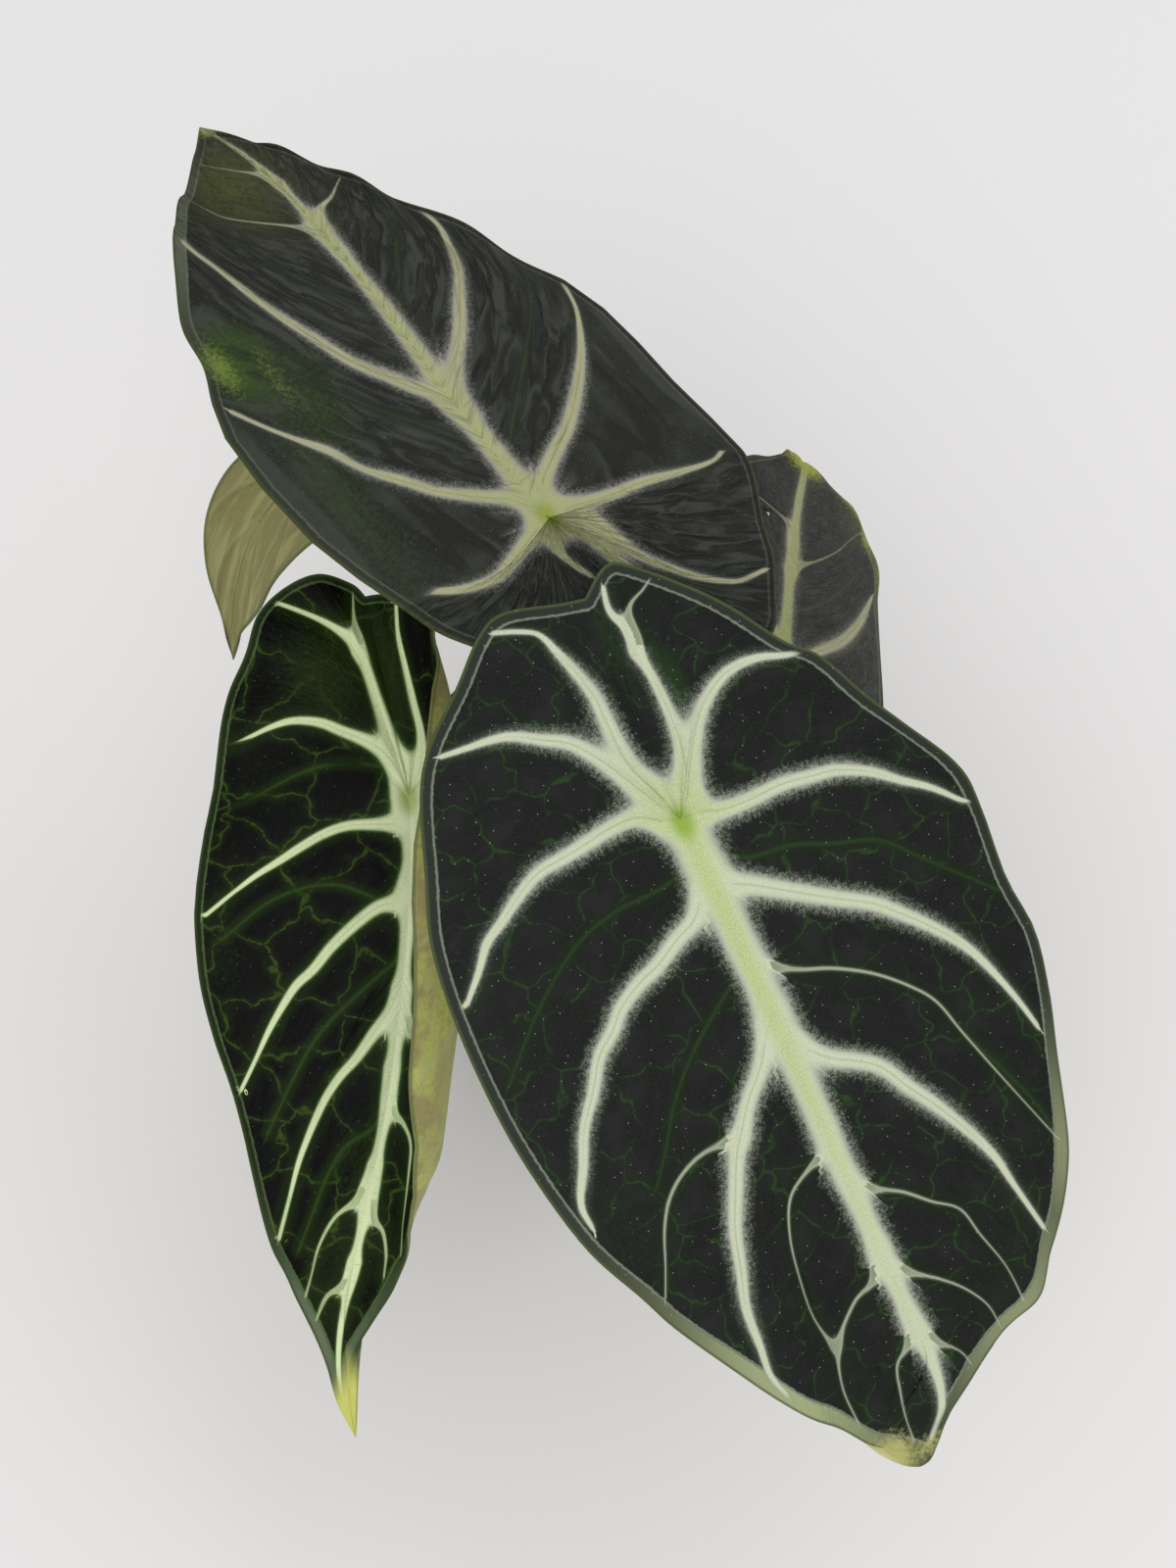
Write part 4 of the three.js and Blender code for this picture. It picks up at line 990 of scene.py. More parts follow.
def blob(points, spots, kind):
    """Soft patches of one tint, from 0 to 1."""
    total = np.zeros(len(points))
    for name, x, y, rx, ry, strength in spots:
        if name == kind:
            far = ((points[:, 0] - x) / rx) ** 2 + ((points[:, 1] - y) / ry) ** 2
            total = np.maximum(total, strength * np.exp(-far))
    return total


def blade_marks(leaf, look, places, side):
    """What the material reads on one side of a blade, by the names in MARKS."""
    x, y = places.flat.T
    central = np.exp(-(places.middle / 2.4) ** 2)
    stripe = central * np.clip(1.2 - x / look["stem_fade"], 0, 1) * np.clip(1 + x / 12, 0, 1)
    around = 0.75 * np.exp(-((places.flat / look["stem_reach"]) ** 2).sum(1))
    vein_offset, vein_far, vein_half, run, pooled = places.veins.T
    thin_offset, thin_far, thin_half = places.thin.T[:3]
    numbers = {
        "x": x, "y": y, "side": np.full(len(x), side),
        "vein_offset": vein_offset, "vein_far": vein_far, "vein_half": vein_half,
        "run": run, "central": central, "pooled": pooled,
        "thin_offset": thin_offset, "thin_far": thin_far, "thin_half": thin_half,
        "rim": places.rim, "heart": np.exp(-((x - 0.5) ** 2 / 14 + y ** 2 / 6)),
        "stripe": np.maximum(stripe, around),
        "across": places.share * SHARE_LENGTH, "along": places.row * ROW_LENGTH,
    }
    for kind in ("green", "olive", "pale", "wide"):
        numbers[kind] = blob(places.flat, leaf["tints"], kind)
    return {key: np.stack([numbers[part] for part in parts], -1) for key, parts in MARKS.items()}


def cut_hole(bm, hole):
    """A small bite through both skins of a blade, joined by its own wall."""
    x, y, radius = hole
    side = bm.verts.layers.float_vector["leaf_mm"]
    gone = [f for f in bm.faces
            if all(math.hypot(v[side][0] - x, v[side][1] - y) < radius * 1.15 for v in f.verts)]
    bmesh.ops.delete(bm, geom=gone, context="FACES")
    rims = [e for e in bm.edges if e.is_boundary
            and all(math.hypot(v[side][0] - x, v[side][1] - y) < radius * 2 for v in e.verts)]
    bmesh.ops.bridge_loops(bm, edges=rims)


def make_blade(name, sizes):
    """One blade: a flat sheet with its twin, given its relief, bent into place and closed."""
    leaf, look = LEAVES[name], LOOKS[name]
    halves = [HalfBlade(leaf[side], leaf["midrib"]) for side in ("left", "right")]
    bm, top, under = blade_sheet(name, halves)
    layers = bm.verts.layers.float_vector
    keep = layers["at"]
    flat = np.array([(v.co.x, v.co.y) for v in top])
    places = blade_places(leaf, look, sizes, halves, flat, np.array([v[keep] for v in top]))
    base, up = bend(leaf, *flat.T), blade_normals(leaf, *flat.T)
    turn, spot = np.array(leaf_turn(leaf)), np.array(leaf["insertion"])
    lift_top, lift_under = blade_lifts(leaf, look, sizes, halves, places)
    for verts, lift, side in ((top, lift_top, 1.0), (under, lift_under, -1.0)):
        placed = ((base + up * lift[:, None]) @ turn.T + spot) * MM
        for v, p in zip(verts, placed):
            v.co = p
        for key, values in blade_marks(leaf, look, places, side).items():
            layer = layers[key]
            for v, value in zip(verts, values.tolist()):
                v[layer] = value
    if "hole" in leaf:
        cut_hole(bm, leaf["hole"])
    bmesh.ops.bridge_loops(bm, edges=[e for e in bm.edges if e.is_boundary])
    bmesh.ops.recalc_face_normals(bm, faces=bm.faces)
    finish_piece(name + "_blade_fine", bm, blade_material(look, leaf["net"]), name + "_blade")


# Material of a blade

def blade_sockets(tree, look, net):
    """The numbers in MARKS as sockets, and the patterns drawn from them, in millimetres of the
    flat blade. A Scale is the count of marks in a millimetre."""
    s = SimpleNamespace()
    for name, parts in MARKS.items():
        vector = add(tree, "Attribute", out="Vector", attribute_name=name)
        vars(s).update(zip(parts, add(tree, "SeparateXYZ", {0: vector}, slice(None))))
    place = add(tree, "Attribute", out="Vector", attribute_name="leaf_mm")

    # Papillae of about 0.3 mm, drawn that coarse so that they show, broad clouds of tone, and
    # a noise of about a millimetre that makes edges ragged.
    for name, scale, detail, roughness in (("grain", 3.4, 2.0, 0.7), ("cloud", 0.14, 3.0, 0.55),
                                           ("ragged", 1.1, 3.0, 0.7)):
        noise_inputs = {"Vector": place, "Scale": scale, "Detail": detail, "Roughness": roughness}
        setattr(s, name, add(tree, "TexNoise", noise_inputs, noise_dimensions="2D"))

    # Stretched ones: strands of down half a millimetre wide that lie across a vein, creases
    # between the side veins one to four millimetres apart, and streaks along the underside.
    crease_by = look["crease_scale"]
    stretched = (("strand", s.run, s.vein_offset, (2.1, 0.4, 1.0), {"Roughness": 0.7}),
                 ("crease", s.across, s.along, (crease_by * 0.13, crease_by, 1.0), {"Distortion": 0.9}),
                 ("streak", s.x, s.y, (0.05, 0.6, 1.0), {}))
    for name, u, v, scale, more in stretched:
        at = add(tree, "Mapping", {"Vector": add(tree, "CombineXYZ", {0: u, 1: v}), "Scale": scale})
        noise_inputs = {"Vector": at, "Scale": 1.0, "Detail": 2.0, **more}
        setattr(s, name, add(tree, "TexNoise", noise_inputs, noise_dimensions="2D"))

    # The net of fine veins: cells of the size measured on this leaf, with wavering sides.
    # Its second number moves the net, so that no two leaves have the same one.
    size, start = net
    waver = add(tree, "TexNoise", {"Vector": place, "Scale": 0.2, "Detail": 1.0}, out="Color",
                noise_dimensions="2D")
    bent = add(tree, "VectorMath", {0: waver, 1: (4.5, 4.5, 0.0), 2: place}, operation="MULTIPLY_ADD")
    cell_at = add(tree, "Mapping", {"Vector": bent, "Location": (start * 7.3, start * 3.1, 0.0),
                                    "Scale": (1.0, 1.0, 0.0)})
    cells = add(tree, "TexVoronoi", {"Vector": cell_at, "Scale": 1 / size, "Randomness": 0.85},
                out="Distance", feature="DISTANCE_TO_EDGE", voronoi_dimensions="2D")
    s.net_gap = add(tree, "Math", {0: cells, 1: size}, operation="MULTIPLY")

    # Specks of dust, a few to the square centimetre.
    s.specks = add(tree, "TexVoronoi", {"Vector": place, "Scale": 0.36}, out="Distance",
                   voronoi_dimensions="2D")
    return s


def line_gaps(tree, offset, far, half, blur):
    """Distances from the middle and from the edge of the nearest line, kept sharp between the
    vertices by its signed offset."""
    near = add(tree, "Math", {0: offset}, operation="ABSOLUTE")
    least = add(tree, "Math", {0: far, 1: blur}, operation="SUBTRACT")
    middle = add(tree, "Math", {0: near, 1: least}, operation="MAXIMUM")
    return middle, add(tree, "Math", {0: middle, 1: half}, operation="SUBTRACT")


def vein_masks(tree, s, look):
    """Adds the gaps and masks of the veins and of the down along their edges to the sockets."""
    feather, blur = look["feather"], look["blur"]
    s.vein_middle, s.vein_gap = line_gaps(tree, s.vein_offset, s.vein_far, s.vein_half, 1.1)
    s.thin_gap = line_gaps(tree, s.thin_offset, s.thin_far, s.thin_half, 1.0)[1]
    s.soft = add(tree, "Math", {0: s.vein_gap, 1: s.pooled}, operation="MINIMUM")
    s.firm = mask(tree, (s.vein_half, -0.15, 0.65))
    stout = mask(tree, (s.vein_half, 0.2, 1.5))
    tuft = add(tree, "Mix", {0: look["combed"], 2: s.ragged, 3: s.strand}, data_type="FLOAT")
    spread = mask(tree, (tuft, 0.36, 0.64, feather), stout)
    down = add(tree, "Math", {0: s.soft, 1: spread}, operation="SUBTRACT")
    s.silver = mask(tree, (down, blur - 0.1, -blur - 0.1), s.firm)
    outer = add(tree, "Math", {0: spread, 1: -1.6, 2: s.soft}, operation="MULTIPLY_ADD")
    s.mist = mask(tree, (outer, feather + 0.8, -0.1, look["mist"]), stout, (s.grain, 0.30, 0.70))
    s.inner = add(tree, "Math", {0: s.soft, 1: s.vein_half}, operation="DIVIDE")
    s.core = mask(tree, (s.inner, -0.02, -0.62), s.firm)
    s.seam = mask(tree, (s.vein_middle, 0.28, 0.08), (s.vein_half, 0.7, 1.2, 0.3), (s.central, 0.3, 0.02))


def patch(tree, ragged, tint, start, end):
    """The factors of a patch of colour with a ragged, speckled edge."""
    rough = add(tree, "Math", {0: ragged, 1: 0.9, 2: tint}, operation="MULTIPLY_ADD")
    return (rough, start, end, 0.9), (tint, 0.03, 0.15)


def net_coats(tree, s, look, tone):
    """The nap with its painted sheen in grain and clouds, the net with its halo, painted light on crease
    crests and painted shade in their valleys, and the thin veins.
    """
    net_from = look["net_from"]
    net_here = mask(tree, (s.cloud, net_from, net_from + 0.3, look["net_strength"]), (s.ragged, 0.25, 0.55))
    beside = (s.soft, 0.3, 2.0)
    return [
        # The nap's lighter tone in papillae grain and broad clouds: partly the papillae's own colour, partly
        # the velvet's sheen painted in.
        (tone["nap_and_sheen"], (s.grain, 0.38, 0.72, 0.7)),
        (tone["nap_and_sheen"], (s.cloud, 0.42, 0.75, 0.5)),
        (tone["halo"], (s.net_gap, look["halo_reach"], 0.1), net_here),
        (tone["halo"], (s.soft, look["feather"] + 2.4, 0.5, 0.55)),
        # Painted light on the crests of the creases and painted shade in their valleys, in the tissue clear
        # of the veins.
        (tone["nap_and_sheen"], (s.crease, 0.50, 0.66, look["crease"]), beside),
        (tone["dark"], (s.crease, 0.48, 0.36, look["crease"]), beside),
        (tone["net"], (s.net_gap, look["net_width"], 0.05), net_here),
        (tone["green"], *patch(tree, s.ragged, s.green, 0.60, 1.35)),
        (tone["olive"], s.olive, (s.ragged, 0.20, 0.55)),
        (tone["halo"], (s.thin_gap, 1.8, 0.1, 0.7)),
        (tone["thin"], (s.thin_gap, 0.25, -0.30, 0.6)),
    ]


def margin_coats(tree, s, look, tone):
    """A smooth band, broader in places, then the silver line that gathers the veins, and a thin
    olive edge outside it."""
    rim_at, line = look["rim_at"], look["line"]
    wave = add(tree, "Math", {0: s.ragged, 1: 0.5, 2: s.rim}, operation="MULTIPLY_ADD")
    wave = add(tree, "Math", {0: s.wide, 1: -look["wide_by"], 2: wave}, operation="MULTIPLY_ADD")
    off_line = add(tree, "Math", {0: wave, 1: rim_at + 0.3}, operation="SUBTRACT")
    off_line = add(tree, "Math", {0: off_line}, operation="ABSOLUTE")
    clear = add(tree, "Math", {0: s.wide, 1: 1 - line, 2: line}, operation="MULTIPLY_ADD")
    band = painted(tree, tone["band"], [(tone["band_wide"], s.wide)])
    return [
        (band, (wave, rim_at + 0.35, rim_at - 0.1, 0.92)),
        (tone["rim"], (off_line, 0.33, 0.06, 0.85), clear),
        (tone["edge"], (s.rim, 0.75, 0.30, 0.8)),
    ]


def vein_coats(tree, s, look, tone):
    """The veins with their down and seams, then pale patches, the heart and specks of dust."""
    within = mask(tree, (s.rim, 0.9, 2.2))
    return [
        (tone["fringe"], s.mist, within),
        (tone["fringe"], s.silver, within),
        (tone["silver"], (s.inner, 0.05, -0.3), s.firm, within),
        (tone["core"], s.core, (s.strand, 0.14, 0.40), within),
        (tone["slight"], (s.vein_half, VEIN_END, SLIGHT_VEIN, look["slight_by"]), s.silver, within),
        (tone["stem"], (s.stripe, 0.05, 1.0), s.core, (s.grain, 0.2, 0.6, 0.8)),
        (tone["seam"], s.seam),
        (tone["seam"], (s.grain, 0.50, 0.80, 0.45), s.silver),
        (tone["pale"], *patch(tree, s.ragged, s.pale, 0.57, 1.30)),
        (tone["heart"], (s.heart, 0.15, 0.95, 0.9)),
        (colour("#b9bcb6"), (s.specks, 0.045, 0.016, look["dust"]), (s.ragged, 0.47, 0.60)),
    ]


def under_skin(tree, s, look, tone):
    """Underside: smooth pale olive, flushed towards the margin, with lighter ribs."""
    flush = (*bpy.context.scene.plant_colours.flush, 1)
    return painted(tree, tone["under"], [
        (colour("#747843"), (s.ragged, 0.35, 0.75, 0.35)),
        (colour("#a6a670"), (s.streak, 0.42, 0.72, 0.6)),
        (flush, (s.cloud, 0.42, 0.62, look["flush"]), (s.rim, 14.0, 1.0)),
        (colour("#a9b07c"), (s.vein_gap, 0.25, -0.3, look["under_vein"])),
        (colour("#8f965c"), (s.net_gap, 0.35, 0.1, look["under_vein"] * 0.4)),
        (colour("#566230"), (s.rim, 0.9, 0.3, 0.8)),
    ])


def blade_material(look, net):
    """Velvety leaf skin: near-black papillae with a faint nap whose sheen is painted in, painted
    light and shade on the creases, pale sunken veins with silver down along their edges, a
    fine green net and a pale olive underside. The glossy young leaf has a smooth cuticle
    instead of papillae."""
    material, tree = new_material(look["material"])
    tone = {key: colour(value) for key, value in look.items() if str(value).startswith("#")}
    s = blade_sockets(tree, look, net)
    vein_masks(tree, s, look)
    coats = [*net_coats(tree, s, look, tone), *margin_coats(tree, s, look, tone),
             *vein_coats(tree, s, look, tone)]
    top_side = mask(tree, (s.side, -0.05, 0.05))
    tail_at, tail_soft = look["tail_row"] * ROW_LENGTH, look["tail_soft"]
    skin = painted(tree, under_skin(tree, s, look, tone), [
        (painted(tree, tone["dark"], coats), top_side),
        (tone["tail"], (s.along, tail_at - tail_soft, tail_at + tail_soft * 0.4, 0.92)),
    ])
    dull = add(tree, "Mix", {0: s.silver, 2: look["roughness"], 3: 0.55}, data_type="FLOAT")
    dull = add(tree, "Mix", {0: top_side, 2: 0.5, 3: dull}, data_type="FLOAT")
    shine = add(tree, "Mix", {0: top_side, 2: 0.35, 3: look["shine"]}, data_type="FLOAT")
    folds = add(tree, "Bump", {"Height": s.crease, "Strength": look["pucker"], "Distance": 0.0012})
    bump = add(tree, "Bump", {"Height": s.grain, "Strength": 0.5, "Distance": 0.0001, "Normal": folds})
    shader = add(tree, "BsdfPrincipled", {"Base Color": skin, "Roughness": dull, "Normal": bump,
                                          "IOR": 1.42, "Specular IOR Level": shine})
    add(tree, "OutputMaterial", {"Surface": shader})
    return material


# Petioles

def stalk_foot(leaf):
    """Where a stalk leaves the mix."""
    a = math.radians(leaf["stalk_angle"])
    return Vector((STALK_RING * math.cos(a), STALK_RING * math.sin(a), SOIL_TOP))


def stalk_path(leaf, blade_thickness):
    """Centres of a petiole from its hole in the mix up into the underside of its blade."""
    rise = math.radians(keyed(leaf["arch"], 0))
    fold_l, fold_r = math.radians(leaf["fold_left"][0][1]), math.radians(leaf["fold_right"][0][1])
    up = Vector((math.sin(rise), (math.sin(fold_r) - math.sin(fold_l)) / 2,
                 math.cos(rise) * (math.cos(fold_l) + math.cos(fold_r)) / 2)).normalized()
    up = leaf_turn(leaf) @ up
    top = Vector(leaf["insertion"]) - up * (blade_thickness / 2 + MIDRIB_HEIGHT + SEAT_GAP)
    foot = stalk_foot(leaf)
    reach = (top - foot).length
    start = Vector((foot.x, foot.y, SOIL_TOP + 3))
    lean = Vector((foot.x * 1.1, foot.y * 1.1, SOIL_TOP + reach * leaf.get("climb", 0.3)))
    last = top - up * reach * leaf.get("tuck", 0.28)
    bottom = Vector((foot.x, foot.y, SOIL_TOP - STALK_DEPTH))
    points = [bottom.lerp(start, i / STALK_STEPS_BELOW) for i in range(STALK_STEPS_BELOW)]
    for i in range(STALK_STEPS):
        t = i / (STALK_STEPS - 1)
        s = 1 - t
        points.append(start * s ** 3 + lean * 3 * t * s ** 2 + last * 3 * t * t * s + top * t ** 3)
    points.append(top + up * (SEAT_GAP + 0.9))
    return points


def stalk_radius(angle, share):
    """Radius of a petiole: it tapers, is finely ribbed with one broad groove, and swells at its top."""
    radius = STALK_BASE_RADIUS + (STALK_TOP_RADIUS - STALK_BASE_RADIUS) * min(1.0, share)
    radius *= 1 + 0.018 * math.cos(9 * angle + 0.7) - 0.05 * math.exp(-((angle - 1.4) / 0.35) ** 2)
    return radius * (1 + 0.12 * math.exp(-((share - 1) / 0.03) ** 2))


def make_stalk(name, sizes, material):
    """A slender petiole: a divided cylinder drawn along its path."""
    path = stalk_path(LEAVES[name], sizes.blade_thickness / MM)
    levels = len(path) - 1
    bm = bmesh.new()
    bmesh.ops.create_cone(bm, cap_ends=True, segments=STALK_SIDES, radius1=1, radius2=1, depth=2)
    uprights = [e for e in bm.edges if abs(e.verts[0].co.z - e.verts[1].co.z) > 1]
    bmesh.ops.subdivide_edges(bm, edges=uprights, cuts=levels - 1, use_grid_fill=True)
    layer = bm.verts.layers.float_vector.new("stalk_mm")
    tangents = [(path[min(i + 1, levels)] - path[max(i - 1, 0)]).normalized() for i in range(levels + 1)]
    normals = [tangents[0].orthogonal().normalized()]
    for t in tangents[1:]:
        normals.append((normals[-1] - t * normals[-1].dot(t)).normalized())
    run = way_along([tuple(p) for p in path])
    for v in bm.verts:
        k = min(levels, max(0, round((v.co.z + 1) / 2 * levels)))
        angle = math.atan2(v.co.y, v.co.x)
        share = max(0.0, (k - STALK_STEPS_BELOW) / (levels - STALK_STEPS_BELOW - 1))
        radius = stalk_radius(angle, share) if math.hypot(v.co.x, v.co.y) > 0.5 else 0
        n, b = normals[k], tangents[k].cross(normals[k])
        v.co = (path[k] + (n * math.cos(angle) + b * math.sin(angle)) * radius) * MM
        v[layer] = (angle, run[k], share)
    bmesh.ops.recalc_face_normals(bm, faces=bm.faces)
    finish_piece(name + "_stalk_fine", bm, material, name + "_stalk", 50)


def petiole_material():
    """Fresh petiole skin: waxy light green, finely ribbed, flushed brown-purple near the soil."""
    petiole = bpy.context.scene.plant_colours.petiole
    material, tree = new_material("petiole_skin_fresh")
    at = add(tree, "Attribute", out="Vector", attribute_name="stalk_mm")
    angle, run, share = add(tree, "SeparateXYZ", {0: at}, slice(None))
    # Streaks follow the ribs and stretch about 3 mm along the stalk, freckles are 0.7 mm.
    wrap = [add(tree, "Math", {0: angle}, operation=way) for way in ("SINE", "COSINE")]
    along = add(tree, "Math", {0: run, 1: 0.06}, operation="MULTIPLY")
    around = add(tree, "CombineXYZ", {0: wrap[0], 1: wrap[1], 2: along})
    streaks = add(tree, "TexNoise", {"Vector": around, "Scale": 5.0, "Detail": 4.0})
    place = add(tree, "TexCoord", out="Object")
    freckles = add(tree, "TexNoise", {"Vector": place, "Scale": 1.4 / MM, "Detail": 2.0})
    skin = painted(tree, (*petiole, 1), [
        (colour("#a9b278"), (streaks, 0.4, 0.7)),
        (colour("#6a4a3e"), (share, 0.45, 0.0, 0.8), (freckles, 0.5, 0.62)),
    ])
    bump = add(tree, "Bump", {"Height": streaks, "Strength": 0.4, "Distance": 0.00015})
    shader = add(tree, "BsdfPrincipled", {"Base Color": skin, "Roughness": 0.42, "Normal": bump,
                                          "IOR": 1.42})
    add(tree, "OutputMaterial", {"Surface": shader})
    return material


# Corm, potting mix and pot

def spun(profile, steps):
    """A bmesh turned about the upright axis from a profile of radius and height in millimetres."""
    bm = bmesh.new()
    made = [bm.verts.new((r * MM, 0, z * MM)) for r, z in profile]
    edges = [bm.edges.new(pair) for pair in zip(made, made[1:])]
    bmesh.ops.spin(bm, geom=made + edges, axis=(0, 0, 1), cent=(0, 0, 0), angle=2 * math.pi, steps=steps,
                   use_merge=True)
    bmesh.ops.remove_doubles(bm, verts=bm.verts, dist=1e-6)
    bmesh.ops.recalc_face_normals(bm, faces=bm.faces)
    return bm


def husk_material():
    """Dry papery husk in rings round the corm: light edges over brown fibre."""
    material, tree = new_material("corm_husk_fibrous")
    place = add(tree, "TexCoord", out="Object")
    # Fibres of 0.7 mm, four times as long along the corm, in bands 1.5 mm apart.
    long_place = add(tree, "Mapping", {"Vector": place, "Scale": (1.0, 1.0, 0.25)})
    fibre = add(tree, "TexNoise", {"Vector": long_place, "Scale": 1.5 / MM, "Detail": 4.0})
    bands = add(tree, "TexWave", {"Vector": place, "Scale": 0.21 / MM, "Distortion": 4.0}, out="Fac",
                bands_direction="Z")
    skin = painted(tree, colour("#4a3824"), [(colour("#a08454"), fibre, bands)])
    bump = add(tree, "Bump", {"Height": fibre, "Strength": 0.7, "Distance": 0.0003})
    shader = add(tree, "BsdfPrincipled", {"Base Color": skin, "Roughness": 0.8, "Normal": bump})
    add(tree, "OutputMaterial", {"Surface": shader})
    return material


def mix_material(name, hex_dark, hex_light, lumps, roughness=0.95):
    """Damp peat, bark or perlite: matt crumbs, darker where wet, each lump a little different.
    Lumps is their count in a millimetre."""
    material, tree = new_material(name)
    place = add(tree, "TexCoord", out="Object")
    cells = add(tree, "TexVoronoi", {"Vector": place, "Scale": lumps / MM}, out="Color")
    fine = add(tree, "TexNoise", {"Vector": place, "Scale": lumps * 2.5 / MM, "Detail": 5.0})
    tone = add(tree, "MapRange", {"Value": mask(tree, cells, fine), "From Min": 0.05, "From Max": 0.5})
    skin = painted(tree, colour(hex_dark), [(colour(hex_light), tone)])
    bump = add(tree, "Bump", {"Height": fine, "Strength": 0.8, "Distance": 0.0004})
    shader = add(tree, "BsdfPrincipled", {"Base Color": skin, "Roughness": roughness, "Normal": bump})
    add(tree, "OutputMaterial", {"Surface": shader})
    return material


def plastic_material():
    """Injection-moulded polypropylene: dull black with a faint grain and dusty scuffs."""
    plastic = bpy.context.scene.plant_colours.plastic
    material, tree = new_material("polypropylene_black_moulded")
    place = add(tree, "TexCoord", out="Object")
    # Moulded grain of 0.4 mm and scuffs of about 18 mm.
    grain = add(tree, "TexNoise", {"Vector": place, "Scale": 2.6 / MM, "Detail": 2.0})
    scuff = add(tree, "TexNoise", {"Vector": place, "Scale": 0.055 / MM, "Detail": 6.0, "Roughness": 0.7})
    skin = painted(tree, (*plastic, 1), [(colour("#4b4843"), (scuff, 0.5, 0.78, 0.5))])
    dull = add(tree, "MapRange", {"Value": scuff, "From Min": 0.3, "From Max": 0.7, "To Min": 0.38,
                                  "To Max": 0.6})
    bump = add(tree, "Bump", {"Height": grain, "Strength": 0.35, "Distance": 0.00006})
    shader = add(tree, "BsdfPrincipled", {"Base Color": skin, "Roughness": dull, "Normal": bump,
                                          "IOR": 1.49})
    add(tree, "OutputMaterial", {"Surface": shader})
    return material


def soil_height(x, y):
    """Height of the mix's lumpy top at a place, in millimetres."""
    lumps = math.sin(x * 0.55 + 1.3) * math.cos(y * 0.62) + 0.6 * math.sin(x * 1.1 - y * 0.9 + 0.5)
    crumbs = noise.noise(Vector((x, y, 0)) * 0.9) * 0.5 + noise.noise(Vector((x, y, 4)) * 2.4) * 0.3
    return SOIL_TOP + SOIL_RELIEF * (0.6 * lumps - 0.4) + crumbs


def inner_radius(z):
    """Radius of the pot's inner wall at a height."""
    (foot_radius, foot), (top_radius, top) = INNER_WALL
    return foot_radius + (top_radius - foot_radius) * (z - foot) / (top - foot)


def keep_out_zones():
    """Centres and radii of the corm and the stalks, where no crumb lies."""
    feet = [stalk_foot(leaf) for leaf in LEAVES.values()]
    return [(0, 0, CORM_RADIUS)] + [(foot.x, foot.y, STALK_BASE_RADIUS) for foot in feet]


def scatter(kind, count, sizes, seed, keep_out):
    """Small lumps lying on the mix, all in one bmesh. Each has a few dozen faces."""
    rng = random.Random(seed)
    room, stretches = CRUMBS[kind]
    bm = bmesh.new()
    for _ in range(count):
        size = rng.uniform(*sizes)
        radius = math.sqrt(rng.random()) * (CRUMB_REACH - size * room)
        a = rng.uniform(0, 2 * math.pi)
        x, y = radius * math.cos(a), radius * math.sin(a)
        if any(math.hypot(x - k[0], y - k[1]) < k[2] + size for k in keep_out):
            continue
        if kind == "chip":
            made = bmesh.ops.create_cube(bm, size=2)["verts"]
        else:
            made = bmesh.ops.create_icosphere(bm, subdivisions=1, radius=1)["verts"]
        stretch = Vector([rng.uniform(*limits) for limits in stretches])
        turn = Euler([rng.uniform(-0.5, 0.5), rng.uniform(-0.5, 0.5), rng.uniform(0, 6.3)]).to_matrix()
        centre = Vector((x, y, soil_height(x, y) + size * stretch.z * 0.35))
        for v in made:
            rough = 1 + rng.uniform(-0.22, 0.22)
            v.co = (turn @ (v.co * stretch * size * rough) + centre) * MM
    if kind == "chip":
        bmesh.ops.bevel(bm, geom=list(bm.edges), offset=0.00012, offset_type="OFFSET", affect="EDGES",
                        segments=1, profile=0.5, material=-1)
    return bm


def wall_points(wall, shares):
    """Points on a straight wall of the pot, at shares of the way from its foot to its top."""
    foot, top = np.array(wall)
    return [tuple(foot + (top - foot) * share) for share in shares]


def pot_profile():
    """Outline of half the pot: floor, foot ring, outer wall, rolled rim, inner wall and floor."""
    base = [(0, 0.9), (26, 0.9), (26.6, 0.5), (27, 0), (30.6, 0), (31.4, 0.1), (31.9, 0.4)]
    lip = [(41.3, 74.9), (43.4, 75.3), (44.2, 75.8), (44.45, 77.6), (44.6, 79.4), (44.75, 81.4),
           (44.9, 83.6), (44.9, 84.1), (44.8, 84.6), (44.55, 84.9), (44.2, POT_HEIGHT), (43.8, 84.95),
           (43.5, 84.8), (43.3, 84.4), (43.2, 83.8), (42.95, 79.0), (42.8, 76.8), (42.3, 76.0),
           (40.4, 75.1), (40, 74.6)]
    outside = [*base, *wall_points(OUTER_WALL, np.linspace(0, 1, 14))]
    inside = [*wall_points(INNER_WALL, np.linspace(0.93, 0, 14)), (30.6, POT_FLOOR), (0, POT_FLOOR)]
    return [*outside, *lip, *inside]


def drill_drains(pot):
    """Cuts the ring of drain holes through the floor of the pot and makes them part of its mesh."""
    drill = bmesh.new()
    for i in range(DRAIN_COUNT):
        a = i / DRAIN_COUNT * 2 * math.pi
        at = Matrix.Translation(Vector((DRAIN_RING * math.cos(a), DRAIN_RING * math.sin(a), 1.5)) * MM)
        bmesh.ops.create_cone(drill, cap_ends=True, segments=32, radius1=DRAIN_RADIUS * MM,
                              radius2=DRAIN_RADIUS * MM, depth=8 * MM, matrix=at)
    mesh = bpy.data.meshes.new("drain_cutter")
    drill.to_mesh(mesh)
    drill.free()
    cutter = bpy.data.objects.new("drain_cutter", mesh)
    context = bpy.context
    context.scene.collection.objects.link(cutter)
    cut = pot.modifiers.new("drain holes", "BOOLEAN")
    cut.object, cut.operation, cut.solver = cutter, "DIFFERENCE", "EXACT"
    context.view_layer.update()
    pot_now = pot.evaluated_get(context.evaluated_depsgraph_get())
    bored = bpy.data.meshes.new_from_object(pot_now)
    pot.modifiers.clear()
    pot.data = bored
    bpy.data.objects.remove(cutter)


class PLANT_OT_leaves(bpy.types.Operator):
    """Build the five leaf blades with their veins, net, and nap with its painted sheen"""

    bl_idname = "plant.leaves"
    bl_label = "Leaf blades"

    def execute(self, context):
        for name in LEAVES:
            make_blade(name, context.scene.plant_sizes)
        return {"FINISHED"}


